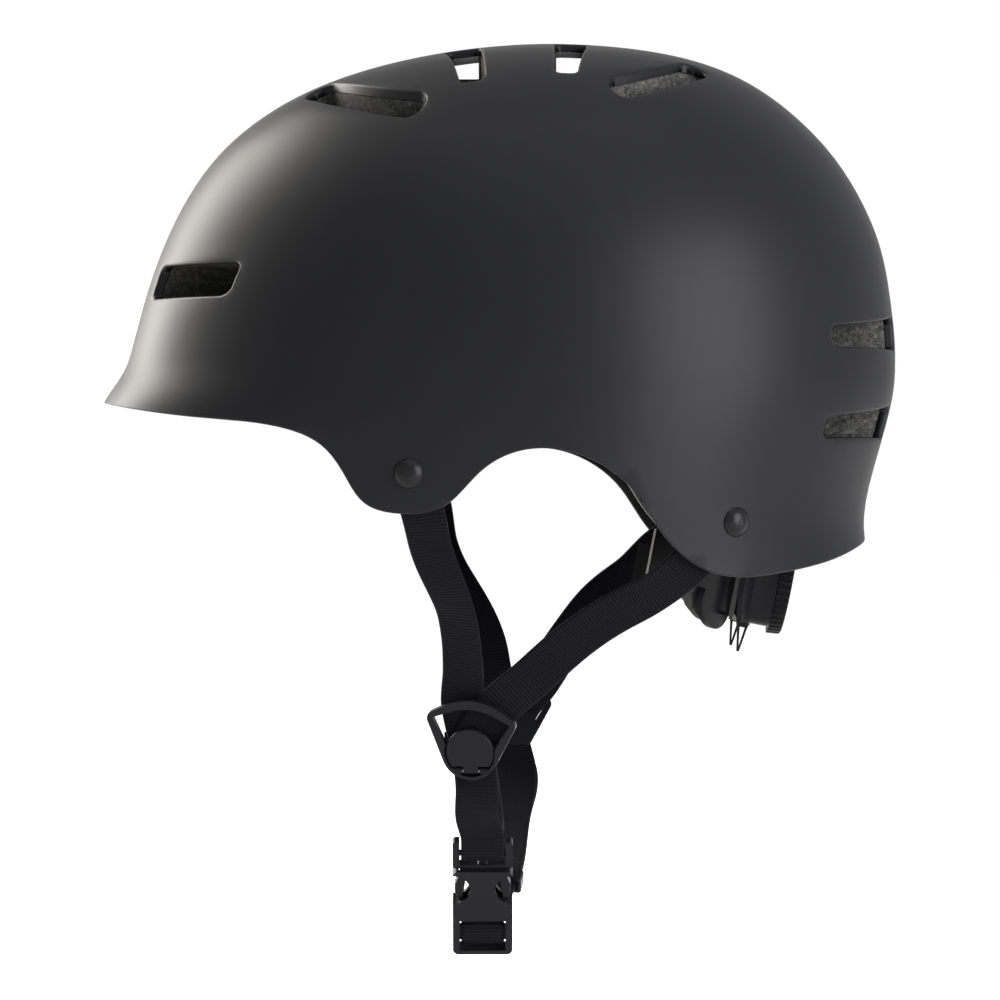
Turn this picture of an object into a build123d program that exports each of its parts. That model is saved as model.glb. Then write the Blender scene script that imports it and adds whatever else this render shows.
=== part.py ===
"""Skateboard helmet: hard shell, foam liner, webbing with dividers and a side release
buckle, and a rear cradle that a dial winds in and out. Millimetres, +Z up, the visor
points to -Y and the wearer's left is +X. The origin is the middle of the crown pad's
underside, where the helmet sits on a head."""

import os
from math import cos, degrees, pi, radians, sin, sqrt

from build123d import *

os.makedirs("parts", exist_ok=True)

# Shell
shell_height = 184.4
front_reach = 156.6
rear_reach = 121.8
half_width = 107.0
shell_wall = 2.8

# Liner and pads
fit_gap = 0.3
liner_wall = 22.0
liner_rise = 5.0
hook_wall = 1.2
hook_diameter = 18.0
pad_gap = 0.15
pad_wall = 7.0
pad_round = 2.5

# Cutting and probing
overrun = 12.0
probe = 0.5

apex_height = shell_wall + fit_gap + liner_wall + hook_wall + 2 * pad_gap + pad_wall

# Depth below the apex, front reach, rear reach and half width, as shares of those sizes
shell_shares = [
    (0.0001, 0.018, 0.026, 0.022),
    (0.0019, 0.079, 0.113, 0.097),
    (0.0076, 0.157, 0.223, 0.184),
    (0.0267, 0.301, 0.393, 0.326),
    (0.0649, 0.465, 0.552, 0.484),
    (0.1031, 0.569, 0.647, 0.590),
    (0.1508, 0.659, 0.734, 0.689),
    (0.2081, 0.735, 0.815, 0.778),
    (0.2940, 0.809, 0.899, 0.873),
    (0.3799, 0.859, 0.954, 0.936),
    (0.4944, 0.906, 0.988, 0.984),
    (0.5803, 0.933, 1.000, 0.998),
    (0.6223, 0.951, 1.000, 1.000),
    (0.6643, 0.984, 0.994, 0.999),
    (0.7000, 1.008, 0.983, 0.998),
    (0.7636, 1.018, 0.957, 0.993),
    (0.8399, 1.020, 0.925, 0.984),
    (0.8972, 1.022, 0.911, 0.974),
    (0.9544, 1.023, 0.915, 0.962),
    (1.0117, 1.023, 0.931, 0.948),
]

# Side view of the rim from visor to nape: reach to the front or rear, and depth, as shares
rim_shares = [
    (-1.150, 0.650),
    (-1.000, 0.681),
    (-0.750, 0.712),
    (-0.570, 0.731),
    (-0.490, 0.760),
    (-0.444, 0.806),
    (-0.395, 0.866),
    (-0.322, 0.885),
    (-0.223, 0.870),
    (-0.150, 0.810),
    (-0.066, 0.772),
    (0.024, 0.770),
    (0.132, 0.795),
    (0.230, 0.849),
    (0.296, 0.915),
    (0.359, 0.9615),
    (0.461, 0.996),
    (0.630, 0.995),
    (0.809, 0.970),
    (0.913, 0.943),
    (1.150, 0.885),
]

# Vents
brow_vent_inner = 25.0
brow_vent_outer = 66.0
brow_vent_depth = 84.5
brow_vent_height = 11.0
rear_vent_inner = 16.0
rear_vent_outer = 65.0
rear_vent_depths = [101.8, 132.3]
rear_vent_height = 11.0
rear_vent_tip = 7.0
ring_vent_radius = 70.0
ring_vent_width = 10.0
ring_vent_centre = -13.0
ring_vent_front_angles = (-69.0, -29.0)
ring_vent_rear_angles = (33.0, 62.0)
vent_round = 2.6
vent_lip = 1.2
vent_reach = 75.0
vent_stand = 50.0
channel_width = 11.0
channel_run_on = 6.0
crown_channel_depth = 13.0
front_channel_place = -76.0
front_channel_depth = 21.0
rear_channel_place = 49.0
rear_channel_depth = 15.0
ring_channel_half = 20.0

# Corners of the two crown slots: across and along, as shares of half width and front reach
front_slot_shares = [(0.1308, -0.2299), (0.5234, -0.1935), (0.5234, -0.1405), (0.1308, -0.1507)]
rear_slot_shares = [(0.1121, 0.0141), (0.5047, 0.0109), (0.5047, 0.0588), (0.1121, 0.0907)]

# Webbing
web_width = 15.0
web_wall = 1.3
web_gap = 0.45
layer_pitch = 1.6
tab_above = 8.0

# Rivets that hold the webbing to the shell
front_rivet_shares = (-0.3014, 0.8129)
rear_rivet_shares = (0.3953, 0.9008)
front_pull_shares = (-0.2765, 0.8807)
rear_pull_shares = (0.2842, 0.9789)
rivet_head = 10.0
rivet_dome = 2.2
rivet_brow_shares = (0.6, 0.78)
rivet_seat = 0.25
rivet_shank = 4.0
rivet_bore = 4.4
rivet_tail = 6.4
rivet_tail_wall = 1.0
washer_diameter = 9.0
washer_wall = 0.8
washer_gap = 0.15
pocket_width = 24.0
pocket_length = 52.0
pocket_round = 4.0
pocket_depth = 9.5

# Dividers
divider_half = 15.3
divider_corner_height = 11.0
divider_corner = 2.6
divider_arch = 18.5
divider_tail = 9.8
divider_rail = 3.1
divider_lean = 6.0
divider_front = 2.6
divider_back_wall = 1.2
divider_side_wall = 1.2
divider_floor = 0.25
lever_radius = 8.3
lever_gap = 0.4
lever_wall = 2.3
lever_pin = 1.2
lever_pin_height = -6.8
lever_heel = 1.85
lever_knuckle = 2.6
lever_barrel_radius = 1.1
frame_barrel_radius = 1.25

# Buckle
buckle_width = 20.6
buckle_slot = 15.9
plug_top = 8.0
plug_shoulder = 2.2
plug_base_low = 4.5
plug_base_half = 7.9
plug_wall = 4.2
plug_bar = 2.2
plug_bar_height = 2.9
tongue_width = 4.0
tongue_length = 12.0
socket_top = 2.6
socket_step = 21.7
socket_bottom = 35.4
socket_wall = 8.0
socket_tail_wall = 6.8
socket_cavity = 4.6
socket_bar_top = 25.4
socket_bar_low = 30.8
socket_slot_top = 22.3
socket_slot_low = 34.0
socket_bar_front = 1.0
socket_bar_back = 1.2
window_half_height = 5.4
window_reach = 6.0
keeper_length = 6.0
keeper_wall = 1.2

back_plate_high = 5.0
back_plate_low = -7.0
side_wall_high = -0.4
side_wall_low = -4.4
lever_pin_length = 13.0
lever_round = 0.5
pin_gap = 0.1
keeper_gap = 0.35
plug_round = 2.0
plug_slot_low = 1.0
tongue_wall = 2.4
arm_root_inset = 3.7
arm_root_drop = 4.2
arm_root_radius = 1.2
arm_gap = 0.2
arm_wall = 3.8
arm_bulge = 3.0
arm_bulge_high = 4.3
arm_bulge_low = 7.3
arm_waist = 0.2
arm_waist_low = 9.0
arm_neck = 10.8
arm_neck_out = 1.3
arm_gate = 12.5
arm_hook = 0.4
arm_hook_out = 2.5
arm_width = 0.6
arm_length = 14.8
arm_tip_out = 1.8
gate_half = 8.2
latch_half = 9.35
latch_top = 16.5
latch_low = 20.0
window_middle = 9.6

# Cradle ring round the back of the head
ring_tilt = 11.0
ring_middle = -2.4
ring_depth = 173.3
cradle_radius = 72.5
cradle_wall = 1.5
band_gap = 0.4
band_wall = 1.4
cradle_half_angle = 56.0
cradle_half_height = 14.0
cradle_end_height = 4.5
lobe_reach = 37.0
lobe_low = 9.0
lobe_radius = 9.5
cradle_pad_wall = 3.0
cradle_pad_inset = 1.2
hanger_angle = 49.0
hanger_half_angle = 3.6
hanger_rise = 38.0
anchor_shaft = 5.0
anchor_head = 9.0
anchor_head_wall = 1.2
anchor_reach = 17.0
anchor_gap = 0.2

# Dial, pinion and curved racks
pinion_teeth = 10
tooth_module = 1.2
backlash = 0.3
pinion_wall = 2.0
rack_back = 4.0
rack_tail_angle = 20.0
rack_front_angle = 42.0
band_end_angle = 61.0
housing_half_width = 18.0
housing_half_height = 15.0
housing_wall = 7.4
dial_diameter = 35.0
dial_wall = 4.8
dial_gap = 0.4
dial_ribs = 44
dial_groove = 1.4
dial_draft = 0.4
dial_round = 1.0
hub_diameter = 11.0
detent_outer = 27.0
detent_inner = 22.0
detent_wall = 1.3
screw_shank = 3.0
screw_head = 6.0
screw_head_wall = 1.1
cradle_shoulder = 38.0
cradle_reach = 62.0
guide_angle = 27.0
guide_half_angle = 1.6
guide_wall = 1.1
wing_wall = 1.6
wing_reach = 30.0
wing_foot = 26.0
wing_high = 8.0
wing_low = 6.0
wing_half_height = 16.0
tie_angle = 18.0
tie_root_drop = 15.6
tie_half_width = 1.9
tie_wall = 0.9
tie_drop = 9.4
pad_first_angle = 22.0
pad_last_angle = 47.0
anchor_collar = 8.0
anchor_collar_length = 7.0
tooth_sink = 0.4
tooth_foot_share = 0.56
tooth_tip_share = 0.24
root_share = 1.25
rack_teeth_each_way = 6
housing_floor = 60.0
housing_round = 6.0
hub_gap = 0.3
pinion_bore = 8.0
pinion_overhang = 0.7
screw_length = 9.0
detent_gap = 0.1
detent_notch = 1.0
detent_notches = 26
detent_turn = 45.0
dial_dish = 20.0
dial_dish_depth = 0.8
dial_relief = 3.5


def blend(low, high, share):
    return low + (high - low) * share


def profile(column, reach):
    """One side of the shell as a spline in reach and depth, from the top to below the rim."""
    points = [(row[column] * reach, row[0] * shell_height) for row in shell_shares]
    return Edge.make_spline([Vector(*p) for p in points], tangents=[Vector(1, 0), Vector(0, 1)])


side_profiles = [profile(1, front_reach), profile(2, rear_reach), profile(3, half_width)]


def inset_profile(side, inset):
    """The same profile moved inwards, square to the surface."""
    steps = 60
    places = [side_profiles[side] @ (n / steps) for n in range(steps + 1)]
    runs = [side_profiles[side] % (n / steps) for n in range(steps + 1)]
    return [(p.X - inset * t.Y, p.Y + inset * t.X) for p, t in zip(places, runs)]


profile_cache = {}


def reach_at(side, depth, inset=0.0):
    """How far the surface lies from the apex axis at a depth below the apex."""
    if (side, inset) not in profile_cache:
        profile_cache[side, inset] = inset_profile(side, inset)
    points = profile_cache[side, inset]
    for (near, above), (far, below) in zip(points, points[1:]):
        if below >= depth:
            return blend(near, far, (depth - above) / (below - above))
    return points[-1][0]


def dome(inset):
    """The closed solid inside the shell's outer surface, moved inwards by an inset."""
    foot = shell_height * shell_shares[-1][0]
    with BuildPart() as solid:
        sections = []
        for row in shell_shares:
            share = row[0] * shell_height / foot
            depth = inset + share * (foot - inset)
            front, rear, side = (reach_at(n, depth, inset) for n in range(3))
            with BuildSketch(Plane.XY.offset(apex_height - depth)) as section:
                with BuildLine():
                    EllipticalCenterArc((0, 0), side, front, start_angle=180, arc_size=180)
                    EllipticalCenterArc((0, 0), side, rear, start_angle=0, arc_size=180)
                make_face()
            sections.append(section.sketch.faces()[0])
        loft(sections=sections)
    return solid.part


def at(x, y, depth):
    """A point from its place across, along and below the apex."""
    return Vector(x, y, apex_height - depth)


def share_at(x_share, y_share, depth_share):
    """The same, from shares of the half width, the front reach and the shell's height."""
    return at(x_share * half_width, y_share * front_reach, depth_share * shell_height)


def skin(y, depth, inset=0.0):
    """A point on the left side of the shell, moved inwards, and the outward normal there."""
    end = 1 if y > 0 else 0

    def across(y_here, depth_here):
        reach = reach_at(end, depth_here)
        return reach_at(2, depth_here) * sqrt(1 - (y_here / reach) ** 2)

    slope_y = (across(y + probe, depth) - across(y - probe, depth)) / (2 * probe)
    slope_depth = (across(y, depth + probe) - across(y, depth - probe)) / (2 * probe)
    normal = Vector(1, -slope_y, slope_depth).normalized()
    return at(across(y, depth), y, depth) - normal * inset, normal


def mirrored(vector):
    return Vector(-vector.X, vector.Y, vector.Z)


def both_sides(solid):
    """A part and its copy on the other side of the helmet."""
    with BuildPart() as pair:
        add(solid)
        mirror(about=Plane.YZ)
    return pair.part


def on(plane, x, y, z):
    """A point by its place on a plane and its height over it."""
    return plane.from_local_coords(Vector(x, y, z))


def write(builder, name):
    """Give a finished piece its name and write it."""
    builder.part.label = name
    export_step(builder.part, f"parts/{name}.step")


# Retention ring: its plane leans back, its origin is the middle of the head
ring_origin = at(0, ring_middle, ring_depth)
ring_up = Vector(0, sin(radians(ring_tilt)), cos(radians(ring_tilt)))
ring_plane = Plane(origin=ring_origin, x_dir=(1, 0, 0), z_dir=ring_up)
ring_back = Plane(origin=ring_origin, x_dir=(-1, 0, 0), z_dir=ring_plane.y_dir)

cradle_outer = cradle_radius + cradle_wall
band_inner = cradle_outer + band_gap
band_outer = band_inner + band_wall
band_middle = (band_inner + band_outer) / 2
housing_inner = band_outer + band_gap
housing_outer = housing_inner + housing_wall
pinion_radius = pinion_teeth * tooth_module / 2
tooth_pitch = pi * tooth_module
rack_pitch_line = pinion_radius + backlash
rack_root = rack_pitch_line + root_share * tooth_module
rack_top = rack_root + rack_back


def ring_at(radius, angle, rise):
    """A point by its radius, its angle from the back towards the left, and its rise."""
    turn = radians(angle)
    return on(ring_plane, radius * sin(turn), radius * cos(turn), rise)


def ring_sector(inner, outer, first, last, low, high):
    """A piece of a ring wall between two angles and two levels."""
    with BuildPart() as sector:
        with BuildSketch(ring_plane.offset(low)):
            with BuildLine():
                far = CenterArc((0, 0), outer, 90 - last, last - first)
                near = CenterArc((0, 0), inner, 90 - last, last - first)
                Line(far @ 0, near @ 0)
                Line(far @ 1, near @ 1)
            make_face()
        extrude(amount=high - low)
    return sector.part


# Where the hangers are pinned into the foam
hanger_angles = [-hanger_angle, hanger_angle]
anchor_planes = []
for middle in hanger_angles:
    eye = ring_at(cradle_radius, middle, hanger_rise - anchor_head)
    outward = (ring_at(cradle_outer, middle, 0) - ring_at(cradle_radius, middle, 0)).normalized()
    anchor_planes.append(Plane(origin=eye, z_dir=outward))

# The space below the rim, as a slab across the helmet
def below_rim(rise):
    with BuildPart() as slab:
        with BuildSketch(Plane.YZ):
            with BuildLine():
                rim = [
                    (y * (front_reach if y < 0 else rear_reach), apex_height - z * shell_height + rise)
                    for y, z in rim_shares
                ]
                Spline(*rim)
                Polyline(rim[-1], (rim[-1][0], -2 * shell_height), (rim[0][0], -2 * shell_height), rim[0])
            make_face()
        extrude(amount=half_width + overrun, both=True)
    return slab.part


# Vents of the left side, as solids to cut with
def wedge_vent(height, tip, depth):
    """Outline of a rear vent: level below, and lower towards its outer end."""
    low = apex_height - depth - height / 2
    Polygon(
        (-rear_vent_inner, low),
        (-rear_vent_outer, low),
        (-rear_vent_outer, low + tip),
        (-rear_vent_inner, low + height),
        align=None,
    )


crown_slots = [
    [(x * half_width, y * front_reach) for x, y in corners]
    for corners in (front_slot_shares, rear_slot_shares)
]

with BuildPart() as left_vents:
    with BuildSketch(Plane.XZ.offset(vent_stand)):
        middle = (brow_vent_inner + brow_vent_outer) / 2
        with Locations((middle, apex_height - brow_vent_depth)):
            RectangleRounded(brow_vent_outer - brow_vent_inner, brow_vent_height, vent_round)
    extrude(amount=front_reach)
    with BuildSketch(Plane(origin=(0, vent_stand, 0), x_dir=(-1, 0, 0), z_dir=(0, 1, 0))) as rear_outline:
        for vent_depth in rear_vent_depths:
            wedge_vent(rear_vent_height, rear_vent_tip, vent_depth)
        fillet(rear_outline.vertices(), vent_round)
    extrude(amount=rear_reach)
    with BuildSketch(Plane.XY.offset(apex_height + overrun)) as crown_outline:
        for corners in crown_slots:
            Polygon(*corners, align=None)
        fillet(crown_outline.vertices(), vent_round)
    extrude(amount=-vent_reach)
    with BuildSketch(Plane.XY.offset(apex_height + overrun)):
        for first, last in (ring_vent_front_angles, ring_vent_rear_angles):
            with BuildLine() as middle_line:
                CenterArc((0, ring_vent_centre), ring_vent_radius, first, last - first)
            SlotArc(middle_line.edges()[0], ring_vent_width)
    extrude(amount=-vent_reach)
vents = both_sides(left_vents.part)

shell_places = [
    skin(y * front_reach, depth * shell_height) for y, depth in (front_rivet_shares, rear_rivet_shares)
]
rivet_places = shell_places + [(mirrored(place), mirrored(normal)) for place, normal in shell_places]
rivet_planes = [Plane(origin=place, z_dir=normal) for place, normal in rivet_places]

with BuildPart() as outer_shell:
    add(dome(0))
    add(dome(shell_wall), mode=Mode.SUBTRACT)
    add(below_rim(0), mode=Mode.SUBTRACT)
    add(vents, mode=Mode.SUBTRACT)
    for plane in rivet_planes:
        with BuildSketch(plane):
            Circle(rivet_bore / 2)
        extrude(amount=rivet_head, both=True, mode=Mode.SUBTRACT)
    # The two outer faces, each between an inner face and the next larger one
    outside = outer_shell.faces().filter_by(GeomType.BSPLINE).sort_by(SortBy.AREA)[-4:][1::2]
    lips = [
        edge
        for face in outside
        for wire in face.inner_wires()
        if len(wire.edges()) > 1
        for edge in wire.edges()
    ]
    fillet(lips, vent_lip)
write(outer_shell, "outer_shell")


# Foam liner: vents run through it, a channel joins each pair of top vents under the shell,
# and a pocket at each rivet leaves room for the end of the webbing
liner_outside = shell_wall + fit_gap
liner_inside = liner_outside + liner_wall
liner_cut = below_rim(liner_rise)


def pocket_plane(place, normal, lead):
    """A plane on the shell at a rivet, whose Y axis runs along the webbing."""
    along = (lead - normal * lead.dot(normal)).normalized()
    return Plane(origin=place, x_dir=along.cross(normal), z_dir=normal)


front_lead = share_at(0, *front_pull_shares) - share_at(0, *front_rivet_shares)
rear_lead = share_at(0, *rear_pull_shares) - share_at(0, *rear_rivet_shares)
tab_planes = [pocket_plane(p, n, lead) for (p, n), lead in zip(shell_places, (front_lead, rear_lead))]
pockets = []
for plane in tab_planes:
    with BuildPart() as pocket:
        with BuildSketch(plane):
            with Locations((0, pocket_length / 2 - tab_above - pocket_round)):
                RectangleRounded(pocket_width, pocket_length, pocket_round)
        extrude(amount=-pocket_depth)
    pockets.append(pocket.part)

# Each channel: its place along, its half length and its depth below the apex
channels = [
    (front_channel_place, ring_channel_half, front_channel_depth),
    (rear_channel_place, ring_channel_half, rear_channel_depth),
]
for (x_inner, y_near), _, _, (_, y_far) in crown_slots:
    channels.append(((y_near + y_far) / 2, x_inner + channel_run_on, crown_channel_depth))

with BuildPart() as foam_liner:
    add(dome(liner_outside))
    add(dome(liner_inside), mode=Mode.SUBTRACT)
    add(liner_cut, mode=Mode.SUBTRACT)
    add(vents, mode=Mode.SUBTRACT)
    for y, half_length, depth in channels:
        with BuildSketch(Plane.XY.offset(apex_height)):
            with Locations((0, y)):
                Rectangle(2 * half_length, channel_width)
        extrude(amount=-depth, mode=Mode.SUBTRACT)
    for pocket in pockets:
        add(pocket, mode=Mode.SUBTRACT)
        add(pocket.mirror(Plane.YZ), mode=Mode.SUBTRACT)
    for plane in anchor_planes:
        with BuildSketch(plane):
            Circle(anchor_shaft / 2 + anchor_gap)
        extrude(amount=anchor_reach + anchor_gap, mode=Mode.SUBTRACT)
    with BuildSketch(ring_back.offset(cradle_outer)):
        Circle(dial_diameter / 2 + dial_relief)
    extrude(amount=dial_wall + housing_wall + dial_relief, mode=Mode.SUBTRACT)
write(foam_liner, "foam_liner")


# Comfort pads, held to the foam by round hook patches
hook_inset = liner_inside + pad_gap
pad_inset = hook_inset + hook_wall + pad_gap

# Each pad: the plane that it is drawn on, its middle, its width and height, and its patches
front_view = Plane.XZ
back_view = Plane(origin=(0, 0, 0), x_dir=(-1, 0, 0), z_dir=(0, 1, 0))
left_view = Plane.YZ
top_view = Plane.XY.offset(-liner_wall)
crown_pad_size = (52.0, 96.0)
brow_pad_size = (132.0, 26.0)
side_pad_size = (62.0, 34.0)
rear_pad_size = (66.0, 22.0)
crown_patch_pitch = 52.0
brow_patch_pitch = 72.0
side_patch_pitch = 34.0
rear_patch_pitch = 38.0
brow_pad_depth = 104.0
side_pad_depth = 108.0
rear_pad_depth = 155.0
pad_forms = {
    "crown_pad": (top_view, (0, 0), crown_pad_size, (0, crown_patch_pitch)),
    "brow_pad": (front_view, (0, apex_height - brow_pad_depth), brow_pad_size, (brow_patch_pitch, 0)),
    "side_pad_left": (left_view, (0, apex_height - side_pad_depth), side_pad_size, (side_patch_pitch, 0)),
    "rear_pad": (back_view, (0, apex_height - rear_pad_depth), rear_pad_size, (rear_patch_pitch, 0)),
}

hook_layer = dome(hook_inset) - dome(hook_inset + hook_wall)
pad_layer = dome(pad_inset) - dome(pad_inset + pad_wall)
pad_reach = 2 * shell_height

with BuildPart() as hook_patches:
    for view, middle, size, pitch in pad_forms.values():
        with BuildSketch(view):
            for way in (-1, 1):
                with Locations((middle[0] + way * pitch[0] / 2, middle[1] + way * pitch[1] / 2)):
                    Circle(hook_diameter / 2)
        extrude(amount=pad_reach)
    mirror(about=Plane.YZ)
    add(hook_layer, mode=Mode.INTERSECT)
write(hook_patches, "hook_patches")

for name, (view, middle, size, pitch) in pad_forms.items():
    with BuildPart() as pad:
        with BuildSketch(view):
            with Locations(middle):
                RectangleRounded(*size, min(size) / 2 - pad_round)
        extrude(amount=pad_reach)
        add(pad_layer, mode=Mode.INTERSECT)
    write(pad, name)
    if name == "side_pad_left":
        with BuildPart() as side_pad_right:
            add(pad.part.mirror(Plane.YZ))
        write(side_pad_right, "side_pad_right")


# Rivets with domed heads outside, and their washers behind the webbing
tab_inset = shell_wall + web_gap + web_wall / 2
washer_top = tab_inset + web_wall / 2 + washer_gap
tail_top = washer_top + washer_wall + washer_gap / 2

with BuildPart() as rivet_form:
    with BuildSketch(Plane.XZ):
        with BuildLine():
            crown = (0, rivet_seat + rivet_dome)
            ThreePointArc(
                crown,
                (rivet_brow_shares[0] * rivet_head / 2, rivet_seat + rivet_brow_shares[1] * rivet_dome),
                (rivet_head / 2, rivet_seat),
            )
            Polyline(
                (rivet_head / 2, rivet_seat),
                (rivet_shank / 2, rivet_seat),
                (rivet_shank / 2, -tail_top),
                (rivet_tail / 2, -tail_top),
                (rivet_tail / 2, -tail_top - rivet_tail_wall),
                (0, -tail_top - rivet_tail_wall),
                crown,
            )
        make_face()
    revolve(axis=Axis.Z)

with BuildPart() as strap_rivets:
    for plane in rivet_planes:
        add(plane.location * rivet_form.part)
write(strap_rivets, "strap_rivets")

with BuildPart() as bores:
    for plane in rivet_planes:
        with BuildSketch(plane):
            Circle(rivet_bore / 2)
        extrude(amount=rivet_head, both=True)
rivet_bores = bores.part

with BuildPart() as rivet_washers:
    for plane in rivet_planes:
        with BuildSketch(plane.offset(-washer_top)):
            Circle(washer_diameter / 2)
            Circle(rivet_bore / 2, mode=Mode.SUBTRACT)
        extrude(amount=-washer_wall)
write(rivet_washers, "rivet_washers")


# Planes that carry the dividers and the buckle: X runs across, Y up, Z out to the side
def hanging_plane(origin, facing):
    normal = Vector(*facing).normalized()
    return Plane(origin=origin, x_dir=Vector(0, 0, 1).cross(normal), z_dir=normal)


divider_left_shares = (0.5607, -0.1705, 1.3232)
divider_left_facing = (0.94, -0.20, -0.27)
divider_right_shares = (-0.5794, -0.0894, 1.3254)
divider_right_facing = (-0.94, -0.10, -0.30)
buckle_shares = (0.3645, -0.1462, 1.5352)
buckle_facing = (0.915, 0, -0.403)
divider_left_plane = hanging_plane(share_at(*divider_left_shares), divider_left_facing)
divider_right_plane = hanging_plane(share_at(*divider_right_shares), divider_right_facing)
buckle_plane = hanging_plane(share_at(*buckle_shares), buckle_facing)

outer_layer = -(divider_floor + web_wall / 2)
inner_layer = outer_layer - layer_pitch


def webbing(stops, steps=3):
    """A flat band through a list of stops, each a place and the way that one face looks."""
    path = Edge.make_spline([place for place, facing in stops])
    marks = [path.param_at_point(place) for place, facing in stops]
    with BuildPart() as band:
        sections = []
        for n in range(len(stops) - 1):
            last = steps if n < len(stops) - 2 else steps + 1
            for step in range(last):
                share = step / steps
                here = blend(marks[n], marks[n + 1], share)
                facing = blend(stops[n][1], stops[n + 1][1], share)
                along = path % here
                across = along.cross(facing).normalized()
                with BuildSketch(Plane(origin=path @ here, x_dir=across, z_dir=along)) as section:
                    Rectangle(web_width, web_wall)
                sections.append(section.sketch.faces()[0])
        loft(sections=sections, ruled=True)
    return band.part


# Ends of the webbing at the rivets: along and depth as shares of front reach and shell
# height, and slack as a share of the webbing's thickness
front_tab_shares = [(-0.3174, 0.7711, 0), (-0.3014, 0.8129, 0), (-0.2886, 0.8476, 0), (-0.2765, 0.8807, 0)]
rear_tab_shares = [(0.3033, 0.9810, 0.77), (0.3448, 0.9447, 0.23), (0.3953, 0.9008, 0), (0.4310, 0.8698, 0)]
right_tab_shares = [(0.2714, 0.9740, 0.77), (0.3321, 0.9371, 0.23), (0.3953, 0.9008, 0), (0.4361, 0.8774, 0)]

# Free runs: across, along and depth as shares, and the way that one face looks
left_front_leg_shares = [
    (0.8458, -0.2542, 0.9479, 0.95, -0.28, -0.20),
    (0.7897, -0.2273, 1.0087, 0.90, -0.38, -0.24),
    (0.7290, -0.2018, 1.0683, 0.85, -0.48, -0.26),
    (0.6673, -0.1897, 1.1367, 0.85, -0.46, -0.27),
    (0.6150, -0.1877, 1.1931, 0.90, -0.34, -0.27),
]
left_chin_down_shares = [
    (0.5103, -0.1545, 1.4013, 0.93, -0.16, -0.33),
    (0.4449, -0.1469, 1.4593, 0.92, -0.06, -0.38),
]
left_chin_up_shares = [
    (0.4664, -0.1571, 1.4544, 0.92, -0.06, -0.38),
    (0.5290, -0.1577, 1.3970, 0.93, -0.16, -0.33),
]
left_rear_leg_shares = [
    (0.6224, -0.0581, 1.2017, 0.95, -0.10, -0.28),
    (0.6598, 0.0038, 1.1529, 0.95, 0, -0.28),
    (0.6972, 0.0677, 1.1068, 0.94, 0.08, -0.28),
    (0.7383, 0.1424, 1.0651, 0.92, 0.22, -0.26),
    (0.7813, 0.2324, 1.0217, 0.88, 0.38, -0.20),
]
right_front_leg_shares = [
    (-0.8598, -0.2573, 0.9490, -0.95, -0.28, -0.20),
    (-0.8093, -0.2312, 1.0087, -0.93, -0.25, -0.24),
    (-0.7607, -0.1954, 1.0597, -0.93, -0.20, -0.26),
    (-0.7159, -0.1635, 1.1074, -0.94, -0.15, -0.27),
    (-0.6692, -0.1392, 1.1605, -0.95, -0.10, -0.28),
]
right_chin_down_shares = [
    (-0.4991, -0.0728, 1.3915, -0.78, -0.05, -0.62),
    (-0.3551, -0.0805, 1.4653, -0.62, 0, -0.78),
    (-0.1869, -0.0939, 1.5293, -0.52, 0, -0.85),
    (0, -0.1143, 1.5868, -0.46, 0, -0.89),
]
right_chin_up_shares = [
    (-0.0075, -0.1143, 1.5960, -0.46, 0, -0.89),
    (-0.1963, -0.0939, 1.5374, -0.52, 0, -0.85),
    (-0.3664, -0.0805, 1.4723, -0.62, 0, -0.78),
    (-0.5131, -0.0722, 1.3959, -0.78, -0.05, -0.62),
]
right_rear_leg_shares = [
    (-0.6598, 0.0166, 1.1909, -0.95, -0.05, -0.28),
    (-0.7159, 0.0690, 1.1280, -0.94, 0.05, -0.28),
    (-0.7664, 0.1290, 1.0672, -0.92, 0.20, -0.26),
    (-0.8093, 0.2082, 1.0141, -0.89, 0.36, -0.20),
]

# Runs through a divider: across and up, as shares of its half width
left_inner_shares = [(-0.170, 1.046), (-0.098, 0.458), (0.013, -0.392)]
left_outer_shares = [
    (0.059, -0.588), (0.039, -0.196), (0.078, 0.131), (0.222, 0.425), (0.444, 0.752), (0.680, 1.020),
]
right_inner_shares = [(0.301, 1.046), (0.118, 0.392), (-0.033, -0.484)]
right_outer_shares = [
    (-0.020, -0.588), (-0.020, -0.196), (-0.078, 0.131), (-0.222, 0.425), (-0.444, 0.752), (-0.680, 1.020),
]

# Folds round the buckle's bars: up and out as shares of its width, and how far a face looks up and out
plug_fold_shares = [
    (0.4612, -0.0922, 0, 1),
    (0.2621, -0.1029, 0, 1),
    (0.1408, -0.1019, 0, 1),
    (0.0689, -0.0718, 1, 1),
    (0.0388, 0, 1, 0),
    (0.0689, 0.0718, 1, -1),
    (0.1408, 0.1019, 0, -1),
    (0.2621, 0.1029, 0, -1),
    (0.4612, 0.0922, 0, -1),
]
socket_fold_shares = [
    (-1.3058, -0.4612, 0, -1),
    (-1.2136, -0.2233, -1, -0.3),
    (-1.1602, -0.0583, -1, 0),
    (-1.1699, 0.0340, -1, -0.4),
    (-1.2427, 0.0971, -0.3, -1),
    (-1.3641, 0.1092, 0, -1),
    (-1.4854, 0.0971, 0.3, -1),
    (-1.5583, 0.0340, 1, -0.4),
    (-1.5680, -0.0583, 1, 0),
    (-1.5146, -0.2233, 1, 0.3),
    (-1.4029, -0.4612, 0, 1),
]
under_chin = Vector(-0.42, 0, -0.91).normalized()


def tab_stops(shares, flip, turned):
    """Stops on the inside of the shell; flip takes them to the right, turned faces inwards."""
    stops = []
    for y, depth, slack in shares:
        point, normal = skin(y * front_reach, depth * shell_height, tab_inset + slack * web_wall)
        if flip:
            point, normal = mirrored(point), mirrored(normal)
        stops.append((point, normal * (-1 if turned else 1)))
    return stops


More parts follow.
